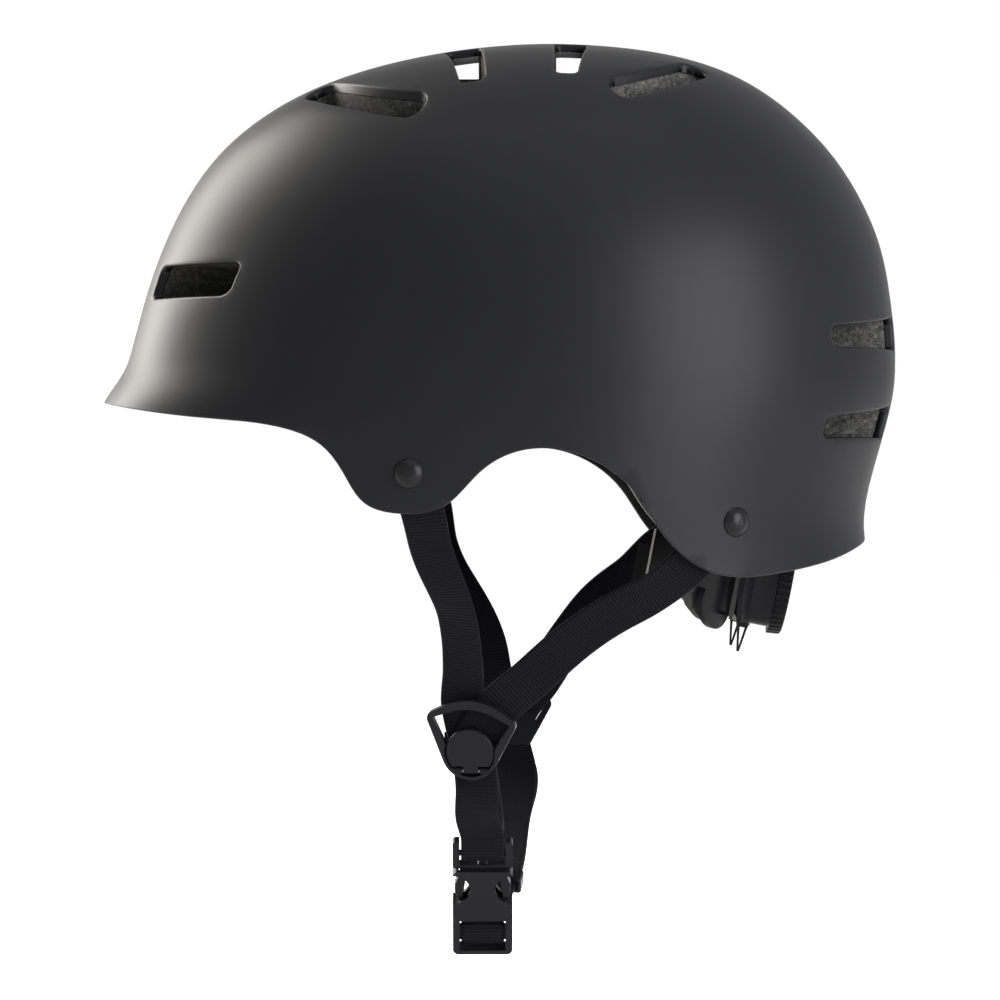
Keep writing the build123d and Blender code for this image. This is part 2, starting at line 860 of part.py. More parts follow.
def run_stops(shares, way=1):
    """Stops of a free run; way turns the faces over."""
    return [(share_at(x, y, z), Vector(a, b, c).normalized() * way) for x, y, z, a, b, c in shares]


def divider_stops(plane, shares, layer, way):
    """Stops through a divider at one layer of the webbing."""
    return [(on(plane, x * divider_half, y * divider_half, layer), plane.z_dir * way) for x, y in shares]


def fold_stops(shares):
    """Stops round a bar of the buckle."""
    up, out = buckle_plane.y_dir, buckle_plane.z_dir
    return [
        (on(buckle_plane, 0, y * buckle_width, z * buckle_width), (up * a + out * b).normalized())
        for y, z, a, b in shares
    ]


left_stops = tab_stops(front_tab_shares, False, False)
left_stops += run_stops(left_front_leg_shares)
left_stops += divider_stops(divider_left_plane, left_inner_shares, inner_layer, 1)
left_stops += run_stops(left_chin_down_shares)
left_stops += fold_stops(plug_fold_shares)
left_stops += run_stops(left_chin_up_shares, -1)
left_stops += divider_stops(divider_left_plane, left_outer_shares, outer_layer, -1)
left_stops += run_stops(left_rear_leg_shares, -1)
left_stops += tab_stops(rear_tab_shares, False, True)

with BuildPart() as strap_left:
    add(webbing(left_stops))
    add(rivet_bores, mode=Mode.SUBTRACT)
write(strap_left, "strap_left")

chin_down = run_stops(right_chin_down_shares)
chin_up = run_stops(right_chin_up_shares, -1)
loop = fold_stops(socket_fold_shares)
loop[0] = (loop[0][0], under_chin)
loop[-1] = (loop[-1][0], -under_chin)

right_stops = tab_stops(front_tab_shares, True, False)
right_stops += run_stops(right_front_leg_shares)
right_stops += divider_stops(divider_right_plane, right_inner_shares, inner_layer, 1)
right_stops += chin_down + loop + chin_up
right_stops += divider_stops(divider_right_plane, right_outer_shares, outer_layer, -1)
right_stops += run_stops(right_rear_leg_shares, -1)
right_stops += tab_stops(right_tab_shares, True, True)

with BuildPart() as strap_right:
    add(webbing(right_stops))
    add(rivet_bores, mode=Mode.SUBTRACT)
write(strap_right, "strap_right")


# Keeper that holds the two layers of the right strap together
keeper_middle = (chin_down[-1][0] + chin_up[0][0]) / 2
keeper_along = (loop[0][0] - chin_down[-2][0]).normalized()
keeper_across = keeper_along.cross(chin_down[-1][1]).normalized()
with BuildPart() as strap_keeper:
    with BuildSketch(Plane(origin=keeper_middle, x_dir=keeper_across, z_dir=keeper_along)):
        inside = (web_width + 2 * keeper_gap, layer_pitch + web_wall + 2 * keeper_gap)
        RectangleRounded(inside[0] + 2 * keeper_wall, inside[1] + 2 * keeper_wall, keeper_wall)
        Rectangle(*inside, mode=Mode.SUBTRACT)
    extrude(amount=keeper_length / 2, both=True)
write(strap_keeper, "strap_keeper")

# Dividers: a frame that both legs of a strap run through, and a round lever that locks them
lever_pin_depth = divider_front / 2
lever_floor = (divider_front - lever_wall) / 2
back_plate_top = inner_layer - web_wall / 2 - divider_floor


def divider_outline(inset):
    """Outline of a divider: an arched top between two corners, and a round lower end."""
    corner = divider_half - divider_corner
    shoulder = divider_corner_height + divider_corner - inset
    with BuildSketch(mode=Mode.PRIVATE) as outline:
        with Locations((-corner, divider_corner_height), (corner, divider_corner_height)):
            Circle(max(divider_corner - inset, probe))
        Circle(divider_tail - inset)
        with BuildLine():
            ThreePointArc((-corner, shoulder), (0, divider_arch - inset), (corner, shoulder))
            Line((corner, shoulder), (-corner, shoulder))
        make_face()
        make_hull()
    return outline.sketch


def pin_line_bar(plane, first, last, radius):
    """A round bar on the line of the lever's pin, between two places across."""
    start = on(plane, first, lever_pin_height, lever_pin_depth)
    with BuildPart() as bar:
        with BuildSketch(Plane(origin=start, x_dir=plane.y_dir, z_dir=plane.x_dir)):
            Circle(radius)
        extrude(amount=last - first)
    return bar.part


def lever_axle(plane, grow):
    """The lever's pin, or with a gap the bore that it runs in."""
    half = lever_pin_length / 2 + grow
    return pin_line_bar(plane, -half, half, lever_pin / 2 + grow)


def divider_frame(plane, lean):
    """The frame: front ring, back plate, two side walls outside the webbing, and two barrels."""
    inner_end = lever_knuckle + lever_gap
    with BuildPart() as barrels:
        add(pin_line_bar(plane, -divider_tail, -inner_end, frame_barrel_radius))
        add(pin_line_bar(plane, inner_end, divider_tail, frame_barrel_radius))
        with BuildSketch(plane):
            Circle(divider_tail)
        extrude(amount=divider_front, mode=Mode.INTERSECT)
    with BuildPart() as frame:
        with BuildSketch(plane):
            add(divider_outline(0), rotation=lean)
            add(divider_outline(divider_rail), rotation=lean, mode=Mode.SUBTRACT)
            Circle(lever_radius + lever_gap, mode=Mode.SUBTRACT)
        extrude(amount=divider_front)
        with BuildSketch(plane.offset(back_plate_top - divider_back_wall)):
            add(divider_outline(0), rotation=lean)
            with Locations((0, (back_plate_high + back_plate_low) / 2)):
                Rectangle(2 * divider_tail, back_plate_high - back_plate_low, mode=Mode.INTERSECT)
        extrude(amount=divider_back_wall)
        with BuildSketch(plane.offset(back_plate_top - divider_back_wall)):
            add(divider_outline(0), rotation=lean)
            with Locations((0, (side_wall_high + side_wall_low) / 2)):
                Rectangle(2 * divider_tail, side_wall_high - side_wall_low, mode=Mode.INTERSECT)
            Rectangle(2 * (divider_tail - divider_side_wall), 2 * divider_half, mode=Mode.SUBTRACT)
        extrude(amount=divider_back_wall - back_plate_top + lever_pin_depth)
        with BuildSketch(plane):
            Circle(lever_radius + lever_gap)
        extrude(amount=divider_front, mode=Mode.SUBTRACT)
        add(barrels.part)
        add(lever_axle(plane, pin_gap), mode=Mode.SUBTRACT)
    return frame.part


def divider_lever(plane):
    """The round lever, cut straight above its pin, with a knuckle in the middle that turns on it."""
    with BuildPart() as lever:
        with BuildSketch(plane.offset(lever_floor)):
            Circle(lever_radius)
        extrude(amount=lever_wall)
        fillet(lever.edges().filter_by(GeomType.CIRCLE), lever_round)
        with BuildSketch(plane):
            with Locations((0, lever_pin_height + lever_heel - lever_radius)):
                Rectangle(2 * lever_radius, 2 * lever_radius)
            with Locations((0, lever_pin_height + lever_heel / 2)):
                Rectangle(2 * lever_knuckle, lever_heel, mode=Mode.SUBTRACT)
        extrude(amount=divider_front, mode=Mode.SUBTRACT)
        add(pin_line_bar(plane, -lever_knuckle, lever_knuckle, lever_barrel_radius))
        add(lever_axle(plane, pin_gap), mode=Mode.SUBTRACT)
    return lever.part


divider_sides = [("left", divider_left_plane, -divider_lean), ("right", divider_right_plane, divider_lean)]
for side, plane, lean in divider_sides:
    with BuildPart() as piece:
        add(divider_frame(plane, lean))
    write(piece, f"divider_frame_{side}")
    with BuildPart() as piece:
        add(divider_lever(plane))
    write(piece, f"divider_lever_{side}")

with BuildPart() as lever_pins:
    add(lever_axle(divider_left_plane, 0))
    add(lever_axle(divider_right_plane, 0))
write(lever_pins, "lever_pins")


# Buckle plug: rails and a round bar for the webbing, a base, and a tongue in the middle
def across_bar(plane, y, z, radius, half_length):
    """A round bar across a plane."""
    with BuildPart() as bar:
        with BuildSketch(Plane(origin=on(plane, -half_length, y, z), x_dir=plane.y_dir, z_dir=plane.x_dir)):
            Circle(radius)
        extrude(amount=2 * half_length)
    return bar.part


arm_root = (buckle_width / 2 - arm_root_inset, -arm_root_drop)
with BuildPart() as buckle_plug:
    with BuildSketch(buckle_plane):
        with Locations((0, (plug_top - plug_shoulder) / 2)):
            RectangleRounded(buckle_width, plug_top + plug_shoulder, plug_shoulder / 2)
        with Locations((0, -plug_base_low / 2)):
            Rectangle(2 * plug_base_half, plug_base_low)
        with Locations((0, (plug_top - plug_slot_low) / 2 + overrun / 2)):
            Rectangle(buckle_slot, plug_top + plug_slot_low + overrun, mode=Mode.SUBTRACT)
        with Locations(arm_root, (-arm_root[0], arm_root[1])):
            Circle(arm_root_radius + arm_gap, mode=Mode.SUBTRACT)
    extrude(amount=plug_wall / 2, both=True)
    with BuildSketch(buckle_plane):
        with Locations((0, -plug_base_low - tongue_length / 2 + tongue_width / 2)):
            RectangleRounded(tongue_width, tongue_length + tongue_width, tongue_width / 3)
    extrude(amount=tongue_wall / 2, both=True)
    add(across_bar(buckle_plane, plug_bar_height, 0, plug_bar / 2, buckle_slot / 2 + tongue_wall / 4))
write(buckle_plug, "buckle_plug")


# Arms, drawn on the rear side: X and Y from the arm's root, in the buckle's plane
arm_outline = [
    (-arm_root_radius, 0),
    (arm_waist, -arm_waist_low),
    (-arm_width, -arm_gate),
    (0, -arm_length),
    (arm_tip_out, -arm_length),
    (arm_hook_out, -arm_gate - arm_hook),
    (arm_hook_out, -arm_gate),
    (arm_neck_out, -arm_gate),
    (arm_neck_out, -arm_neck),
    (arm_bulge, -arm_bulge_low),
    (arm_bulge, -arm_bulge_high),
    (arm_root_radius, 0),
]
for name, way in (("buckle_arm_rear", 1), ("buckle_arm_front", -1)):
    with BuildPart() as arm:
        with BuildSketch(buckle_plane):
            with Locations((way * arm_root[0], arm_root[1])):
                Circle(arm_root_radius)
                Polygon(*[(way * x, y) for x, y in arm_outline], align=None)
        extrude(amount=arm_wall / 2, both=True)
    write(arm, name)


# Buckle socket: open windows at both sides, a latch pocket, and a bar that the webbing loops
with BuildPart() as buckle_socket:
    with BuildSketch(buckle_plane):
        with Locations((0, -(socket_bottom + socket_top) / 2)):
            RectangleRounded(buckle_width, socket_bottom - socket_top, plug_round)
    extrude(amount=socket_wall / 2, both=True)
    with BuildSketch(buckle_plane):
        with Locations((0, -(socket_bottom + socket_step) / 2)):
            Rectangle(2 * buckle_width, socket_bottom - socket_step)
    extrude(amount=socket_wall, both=True, mode=Mode.SUBTRACT)
    with BuildSketch(buckle_plane):
        with Locations((0, -(socket_bottom + socket_step) / 2)):
            RectangleRounded(buckle_width, socket_bottom - socket_step, plug_round)
        with Locations((0, -socket_step - plug_round / 2)):
            Rectangle(buckle_width, plug_round)
        with Locations((0, -(socket_slot_low + socket_slot_top) / 2)):
            Rectangle(buckle_slot, socket_slot_low - socket_slot_top, mode=Mode.SUBTRACT)
    extrude(amount=socket_tail_wall / 2, both=True)
    with BuildSketch(buckle_plane.offset(-socket_bar_back)):
        with Locations((0, -(socket_bar_low + socket_bar_top) / 2)):
            Rectangle(buckle_slot + tongue_wall / 2, socket_bar_low - socket_bar_top)
    extrude(amount=socket_bar_front + socket_bar_back)
    with BuildSketch(buckle_plane):
        with Locations((0, -(socket_top + latch_low) / 2)):
            Rectangle(2 * gate_half, latch_low - socket_top)
        with Locations((0, -(latch_top + latch_low) / 2)):
            Rectangle(2 * latch_half, latch_low - latch_top)
    extrude(amount=socket_cavity / 2, both=True, mode=Mode.SUBTRACT)
    with BuildSketch(buckle_plane):
        with Locations((buckle_width / 2, -window_middle), (-buckle_width / 2, -window_middle)):
            Ellipse(window_reach, window_half_height)
    extrude(amount=socket_wall, both=True, mode=Mode.SUBTRACT)
write(buckle_socket, "buckle_socket")


def cradle_outline(inset):
    """Back view of the cradle: high behind, drawn in to both ends, with two lobes below."""
    half = [
        (0, cradle_half_height - inset),
        (cradle_shoulder, cradle_half_height - inset),
        (cradle_reach, cradle_end_height - inset),
        (cradle_reach, -cradle_end_height / 2 + inset),
        (cradle_shoulder, -cradle_half_height / 2 + inset),
        (housing_half_width, -cradle_half_height + inset),
        (0, -cradle_half_height + inset),
    ]
    with BuildSketch(mode=Mode.PRIVATE) as outline:
        Polygon(*half, align=None)
        Polygon(*[(-x, y) for x, y in half], align=None)
        with Locations((-lobe_reach, -lobe_low), (lobe_reach, -lobe_low)):
            Circle(lobe_radius - inset)
    return outline.sketch


# Cradle: a curved plate with two lobes, two hangers that rise into the helmet, and guides
# that keep the bands on it
cradle_low = -lobe_low - lobe_radius
with BuildPart() as cradle:
    with BuildSketch(ring_back):
        add(cradle_outline(0))
    extrude(amount=cradle_outer + overrun)
    add(
        ring_sector(
            cradle_radius, cradle_outer, -cradle_half_angle, cradle_half_angle,
            cradle_low - overrun, cradle_half_height + overrun,
        ),
        mode=Mode.INTERSECT,
    )
    for middle in hanger_angles:
        first, last = middle - hanger_half_angle, middle + hanger_half_angle
        add(ring_sector(cradle_radius, cradle_outer, first, last, 0, hanger_rise))
    for middle in (-guide_angle, guide_angle):
        first, last = middle - guide_half_angle, middle + guide_half_angle
        guide_low = rack_top + band_gap
        for low in (guide_low, -guide_low - guide_wall):
            add(ring_sector(cradle_radius, housing_inner + guide_wall, first, last, low, low + guide_wall))
        add(
            ring_sector(
                housing_inner, housing_inner + guide_wall, first, last,
                -guide_low - guide_wall, guide_low + guide_wall,
            )
        )
    with BuildSketch(ring_back):
        Circle(pinion_bore)
    extrude(amount=cradle_outer + overrun, mode=Mode.SUBTRACT)
    for plane in anchor_planes:
        with BuildSketch(plane):
            Circle(anchor_shaft / 2 + anchor_gap)
        extrude(amount=2 * cradle_wall, both=True, mode=Mode.SUBTRACT)
write(cradle, "cradle")

with BuildPart() as cradle_pads:
    with BuildSketch(ring_back):
        add(cradle_outline(cradle_pad_inset))
    extrude(amount=cradle_outer + overrun)
    pad_outer = cradle_radius - pad_gap
    add(
        ring_sector(pad_outer - cradle_pad_wall, pad_outer, pad_first_angle, pad_last_angle,
                    cradle_low - overrun, cradle_half_height),
        mode=Mode.INTERSECT,
    )
    mirror(about=Plane.YZ)
write(cradle_pads, "cradle_pads")


# Anchors that pin the hangers into the foam
with BuildPart() as cradle_anchors:
    for plane in anchor_planes:
        with BuildSketch(plane.offset(-pad_gap)):
            Circle(anchor_head / 2)
        extrude(amount=-anchor_head_wall)
        with BuildSketch(plane.offset(-pad_gap)):
            Circle(anchor_shaft / 2)
        extrude(amount=anchor_reach)
        with BuildSketch(plane.offset(cradle_wall + pad_gap)):
            Circle(anchor_collar / 2)
        extrude(amount=anchor_collar_length)
write(cradle_anchors, "cradle_anchors")


# Bands: curved racks, the left one above the pinion and the right one below it
def rack_tooth(angle, way):
    """One tooth that points to the pinion; way is 1 for the rack above and -1 for the one below."""
    root = ring_at(band_inner, angle, way * rack_root)
    outward = (ring_at(band_outer, angle, 0) - ring_at(band_inner, angle, 0)).normalized()
    plane = Plane(origin=root, x_dir=outward.cross(ring_up) * way, z_dir=outward)
    height = rack_root - rack_pitch_line + tooth_module
    wide, narrow = tooth_pitch * tooth_foot_share / 2, tooth_pitch * tooth_tip_share / 2
    with BuildPart() as tooth:
        with BuildSketch(plane):
            Polygon((-wide, tooth_sink), (wide, tooth_sink), (narrow, -height), (-narrow, -height), align=None)
        extrude(amount=band_wall)
    return tooth.part


def band(way):
    """A band with its rack and a wide front end."""
    low, high = sorted((way * rack_root, way * rack_top))
    first, last = sorted((-way * rack_tail_angle, way * band_end_angle))
    with BuildPart() as strip:
        add(ring_sector(band_inner, band_outer, first, last, low, high))
        low, high = sorted((-way * rack_root / 2, way * rack_top))
        first, last = sorted((way * rack_front_angle, way * band_end_angle))
        add(ring_sector(band_inner, band_outer, first, last, low, high))
        for n in range(-rack_teeth_each_way, rack_teeth_each_way):
            add(rack_tooth(degrees((n + 1 / 2) * tooth_pitch / band_middle), way))
    return strip.part


with BuildPart() as band_left:
    add(band(1))
write(band_left, "band_left")
with BuildPart() as band_right:
    add(band(-1))
write(band_right, "band_right")


# Housing over the bands: a block that carries the dial, two thin wings beside it, and a pair
# of thin ties under the wings
wing_half = [
    (0, wing_half_height),
    (housing_half_width, housing_half_height),
    (wing_reach, wing_high),
    (wing_reach, -wing_low),
    (wing_foot, -wing_half_height),
    (0, -wing_half_height),
]
tie_radius = housing_inner + wing_wall
with BuildPart() as retention_housing:
    with BuildSketch(ring_back.offset(housing_floor)):
        Polygon(*wing_half, align=None)
        Polygon(*[(-x, y) for x, y in wing_half], align=None)
    extrude(amount=housing_outer - housing_floor)
    add(
        ring_sector(housing_inner, housing_inner + wing_wall, -90, 90, -shell_height, shell_height),
        mode=Mode.INTERSECT,
    )
    with BuildSketch(ring_back.offset(housing_floor)):
        RectangleRounded(2 * housing_half_width, 2 * housing_half_height, housing_round)
    extrude(amount=housing_outer - housing_floor)
    add(
        ring_sector(housing_floor - overrun, cradle_outer + pad_gap, -90, 90, -shell_height, shell_height),
        mode=Mode.SUBTRACT,
    )
    lane = rack_top + band_gap
    add(ring_sector(housing_floor - overrun, housing_inner, -90, 90, -lane, lane), mode=Mode.SUBTRACT)
    with BuildSketch(ring_back):
        Circle(hub_diameter / 2 + hub_gap)
    extrude(amount=housing_outer + overrun, mode=Mode.SUBTRACT)
    for side in (-1, 1):
        tie_root = ring_at(tie_radius, side * tie_angle, -tie_root_drop)
        tie_plane = Plane(origin=tie_root, x_dir=ring_plane.y_dir, z_dir=(1, 0, 0))
        tie_outside = [
            (-tie_half_width, 0),
            (tie_half_width, 0),
            (tie_wall / 2, -tie_drop),
            (-tie_wall / 2, -tie_drop),
        ]
        tie_inside = [
            (-tie_half_width + tie_wall, 0),
            (tie_half_width - tie_wall, 0),
            (0, -tie_drop + 2 * tie_wall),
        ]
        with BuildSketch(tie_plane):
            Polygon(*tie_outside, align=None)
            Polygon(*tie_inside, align=None, mode=Mode.SUBTRACT)
            Rectangle(2 * tie_half_width, 2 * tie_wall)
        extrude(amount=tie_wall / 2, both=True)
write(retention_housing, "retention_housing")

with BuildPart() as detent_ring:
    with BuildSketch(ring_back.offset(housing_outer + detent_gap)):
        Circle(detent_outer / 2)
        Circle(detent_inner / 2, mode=Mode.SUBTRACT)
        with PolarLocations(detent_inner / 2, detent_notches):
            Rectangle(detent_notch, detent_notch, rotation=detent_turn, mode=Mode.SUBTRACT)
    extrude(amount=detent_wall)
write(detent_ring, "detent_ring")


# Dial with ribs round its edge, a recess over the detent ring, and a hub down to the pinion
dial_floor = housing_outer + dial_gap
pinion_floor = band_inner - pinion_overhang
pinion_top = pinion_floor + pinion_wall
dial_axis = Axis(ring_origin, ring_plane.y_dir)
dial_face = dial_floor + dial_wall
dial_radius = dial_diameter / 2
with BuildPart() as dial_knob:
    with BuildSketch(ring_plane) as dial_section:
        Polygon(
            (0, pinion_top + hub_gap / 2),
            (hub_diameter / 2, pinion_top + hub_gap / 2),
            (hub_diameter / 2, dial_floor + detent_wall + dial_gap),
            (detent_outer / 2 + dial_gap, dial_floor + detent_wall + dial_gap),
            (detent_outer / 2 + dial_gap, dial_floor),
            (dial_radius, dial_floor),
            (dial_radius - dial_draft, dial_face),
            (dial_dish / 2, dial_face),
            (dial_dish / 2 - dial_dish_depth, dial_face - dial_dish_depth),
            (0, dial_face - dial_dish_depth),
            align=None,
        )
        fillet(dial_section.vertices().sort_by(Axis.X)[-2:].sort_by(dial_axis)[-1], dial_round)
    revolve(axis=dial_axis)
    with BuildSketch(ring_back.offset(dial_floor)):
        with PolarLocations(dial_radius, dial_ribs):
            Circle(dial_groove / 2)
    extrude(amount=dial_wall, mode=Mode.SUBTRACT)
    with BuildSketch(ring_back.offset(pinion_top)):
        Circle(screw_shank / 2 + hub_gap / 2)
    extrude(amount=screw_length, mode=Mode.SUBTRACT)
write(dial_knob, "dial_knob")

with BuildPart() as dial_pinion:
    with BuildSketch(ring_back.offset(pinion_floor)):
        Circle(pinion_radius - root_share * tooth_module)
        with PolarLocations(pinion_radius - root_share * tooth_module, pinion_teeth, start_angle=90):
            with Locations(Location((0, 0, 0), (0, 0, -90))):
                height = (1 + root_share) * tooth_module
                wide = tooth_pitch * tooth_foot_share / 2
                narrow = tooth_pitch * tooth_tip_share / 2
                Polygon(
                    (-wide, -tooth_sink), (wide, -tooth_sink), (narrow, height), (-narrow, height),
                    align=None,
                )
        Circle(screw_shank / 2 + hub_gap / 2, mode=Mode.SUBTRACT)
    extrude(amount=pinion_wall)
write(dial_pinion, "dial_pinion")

with BuildPart() as dial_screw:
    with BuildSketch(ring_back.offset(pinion_floor - hub_gap / 2)):
        Circle(screw_head / 2)
    extrude(amount=-screw_head_wall)
    with BuildSketch(ring_back.offset(pinion_floor - hub_gap / 2)):
        Circle(screw_shank / 2)
    extrude(amount=screw_length)
write(dial_screw, "dial_screw")
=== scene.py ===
# %% [markdown]
# Skateboard helmet. A mechanical model of it is there already, solid by solid and with its
# joints. This script loads that model as a fixed frame and gives it its looks. Every rigid
# solid keeps its place and gets a finish. The soft ones, webbing and pads, are made anew,
# because a plain solid of cloth looks like wood.

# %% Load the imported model
from math import cos, floor, pi, radians, sin

import bmesh
import bpy
import numpy as np
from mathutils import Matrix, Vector


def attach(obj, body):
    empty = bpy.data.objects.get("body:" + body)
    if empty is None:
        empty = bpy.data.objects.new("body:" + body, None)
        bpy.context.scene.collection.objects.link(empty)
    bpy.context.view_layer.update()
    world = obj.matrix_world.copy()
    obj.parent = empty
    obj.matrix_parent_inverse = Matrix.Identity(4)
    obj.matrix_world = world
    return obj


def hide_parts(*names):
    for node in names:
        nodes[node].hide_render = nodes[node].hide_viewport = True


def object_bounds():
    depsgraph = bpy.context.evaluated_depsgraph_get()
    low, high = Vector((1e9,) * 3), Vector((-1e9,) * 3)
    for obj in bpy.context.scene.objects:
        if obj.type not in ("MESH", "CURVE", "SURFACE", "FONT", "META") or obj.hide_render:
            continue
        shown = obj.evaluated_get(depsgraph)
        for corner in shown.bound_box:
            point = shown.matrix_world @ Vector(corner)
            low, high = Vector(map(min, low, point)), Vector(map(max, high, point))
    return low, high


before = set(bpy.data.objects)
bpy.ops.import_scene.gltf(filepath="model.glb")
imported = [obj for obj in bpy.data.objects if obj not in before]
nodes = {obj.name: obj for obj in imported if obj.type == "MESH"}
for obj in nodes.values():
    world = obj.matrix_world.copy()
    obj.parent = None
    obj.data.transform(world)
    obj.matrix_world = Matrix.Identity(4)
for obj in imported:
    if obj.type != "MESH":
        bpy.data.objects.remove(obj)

cad_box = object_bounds()
print(len(nodes), "nodes, from", list(cad_box[0]), "to", list(cad_box[1]))

# %% [markdown]
# The photograph looks at the wearer's left side, nearly level with the middle of the helmet.
# A camera could be moved about by eye until the picture matches. Here its aim, distance and
# rise are named, with the width that it takes in at the helmet, and the lens is worked out
# from them, so that each one can be corrected alone. Lengths are in metres, and MM turns a
# size in millimetres into them. The Standard view transform shows colours as they are written.

# %% Camera
MM = 0.001
SENSOR_WIDTH = 36.0
VIEW_AIM = Vector((0.0, -0.0169, -0.1262))
VIEW_DISTANCE = 1.6
VIEW_RISE = radians(0.7)
VIEW_SPAN = 0.352
FARTHEST_SEEN = 50.0

camera_data = bpy.data.cameras.new("camera")
camera_data.sensor_width = SENSOR_WIDTH
camera_data.lens = camera_data.sensor_width * VIEW_DISTANCE / VIEW_SPAN
camera_data.clip_end = FARTHEST_SEEN
camera = bpy.data.objects.new("camera", camera_data)
bpy.context.scene.collection.objects.link(camera)
back_off = Vector((cos(VIEW_RISE), 0, sin(VIEW_RISE))) * VIEW_DISTANCE
camera.location = VIEW_AIM + back_off
camera.rotation_euler = (-back_off).to_track_quat("-Z", "Y").to_euler()
bpy.context.scene.camera = camera
bpy.context.scene.view_settings.view_transform = "Standard"
print("camera at", [round(c, 4) for c in camera.location], "lens", round(camera_data.lens, 1))

# %% [markdown]
# Most of the helmet is injection moulded plastic. The fine grain of the mould breaks up its
# gloss, and its tone and gloss drift a little over a few centimetres. A picture of such a
# surface could be wrapped round each part, but noise on the object's own coordinates needs no
# unwrapping and has no seams. Several materials share this effect, so it is a node group with
# named inputs and outputs: it is built once, and each material calls it with its own values.

# %% Helpers for a node group
FLOAT = "NodeSocketFloat"
COLOUR = "NodeSocketColor"
VECTOR = "NodeSocketVector"


def new_group(name, sockets_in, sockets_out):
    """A node group with named inputs and outputs."""
    group = bpy.data.node_groups.new(name, "ShaderNodeTree")
    for label, kind in sockets_in.items():
        group.interface.new_socket(label, in_out="INPUT", socket_type=kind)
    for label, kind in sockets_out.items():
        group.interface.new_socket(label, in_out="OUTPUT", socket_type=kind)
    inlet = group.nodes.new("NodeGroupInput")
    outlet = group.nodes.new("NodeGroupOutput")
    return group, inlet, outlet


def noise(tree, scale, detail=2.0):
    """A noise texture, finer as its scale grows."""
    node = tree.nodes.new("ShaderNodeTexNoise")
    node.inputs["Scale"].default_value = scale
    node.inputs["Detail"].default_value = detail
    return node


def relief(tree, depth, strength=1.0):
    """A bump, for shapes too small to model."""
    node = tree.nodes.new("ShaderNodeBump")
    node.inputs["Distance"].default_value = depth
    node.inputs["Strength"].default_value = strength
    return node


# %% Shared effect of moulded plastic
GRAIN_SCALE = 2600.0
GRAIN_DEPTH = 0.05 * MM
DRIFT_SCALE = 14.0

moulded, inlet, outlet = new_group(
    "moulded_plastic",
    {
        "Dark": COLOUR,
        "Light": COLOUR,
        "Rough low": FLOAT,
        "Rough high": FLOAT,
        "Grain strength": FLOAT,
    },
    {"Colour": COLOUR, "Roughness": FLOAT, "Normal": VECTOR},
)
place = moulded.nodes.new("ShaderNodeTexCoord")
drift = noise(moulded, DRIFT_SCALE, detail=3.0)
grain = noise(moulded, GRAIN_SCALE)
tone = moulded.nodes.new("ShaderNodeMix")
tone.data_type = "RGBA"
rough = moulded.nodes.new("ShaderNodeMapRange")
bump = relief(moulded, GRAIN_DEPTH)
link = moulded.links.new
link(place.outputs["Object"], drift.inputs["Vector"])
link(place.outputs["Object"], grain.inputs["Vector"])
link(drift.outputs["Fac"], tone.inputs["Factor"])
link(inlet.outputs["Dark"], tone.inputs["A"])
link(inlet.outputs["Light"], tone.inputs["B"])
link(drift.outputs["Fac"], rough.inputs["Value"])
link(inlet.outputs["Rough low"], rough.inputs["To Min"])
link(inlet.outputs["Rough high"], rough.inputs["To Max"])
link(grain.outputs["Fac"], bump.inputs["Height"])
link(inlet.outputs["Grain strength"], bump.inputs["Strength"])
link(tone.outputs["Result"], outlet.inputs["Colour"])
link(rough.outputs["Result"], outlet.inputs["Roughness"])
link(bump.outputs["Normal"], outlet.inputs["Normal"])
print("moulded plastic has", len(moulded.nodes), "nodes")

# %% [markdown]
# A material is a small network of nodes that ends in a Principled shader. A value that is the
# same all over the surface goes straight onto the shader's own socket, and only what changes
# from place to place comes through other nodes. The plastics here differ in a few values:
# the two tones that they drift between, the two ends of their roughness, their shine, which
# is the strength of their reflections, and the strength of their grain. The shell is satin,
# the buckle and the dividers are glossier, the cradle is duller, and the dial is rubber with
# a stronger grain. The rivets' black paint is near enough to a glossy plastic to be made the
# same way.

# %% Helpers for a finish
def new_material(name, colour, roughness, **more):
    """A material with its node tree and its shader."""
    material = bpy.data.materials.new(name)
    material.use_nodes = True
    shader = material.node_tree.nodes["Principled BSDF"]
    shader.inputs["Base Color"].default_value = (*colour, 1)
    shader.inputs["Roughness"].default_value = roughness
    for socket, value in more.items():
        shader.inputs[socket.replace("_", " ")].default_value = value
    return material, material.node_tree, shader


def call_group(tree, group, **values):
    """One use of a node group, with its own values."""
    node = tree.nodes.new("ShaderNodeGroup")
    node.node_tree = group
    for label, value in values.items():
        node.inputs[label.replace("_", " ")].default_value = value
    return node


# %% Plastic finishes
GRAIN_STRENGTH = 0.15
RUBBER_GRAIN_STRENGTH = 0.4


def plastic(name, dark, light, rough_low, rough_high, shine, grain_strength=GRAIN_STRENGTH):
    """A finish of moulded plastic, from a call of the shared effect."""
    material, tree, shader = new_material(name, dark, rough_low, Specular_IOR_Level=shine)
    effect = call_group(
        tree, moulded, Dark=(*dark, 1), Light=(*light, 1), Rough_low=rough_low,
        Rough_high=rough_high, Grain_strength=grain_strength,
    )
    tree.links.new(effect.outputs["Colour"], shader.inputs["Base Color"])
    tree.links.new(effect.outputs["Roughness"], shader.inputs["Roughness"])
    tree.links.new(effect.outputs["Normal"], shader.inputs["Normal"])
    return material


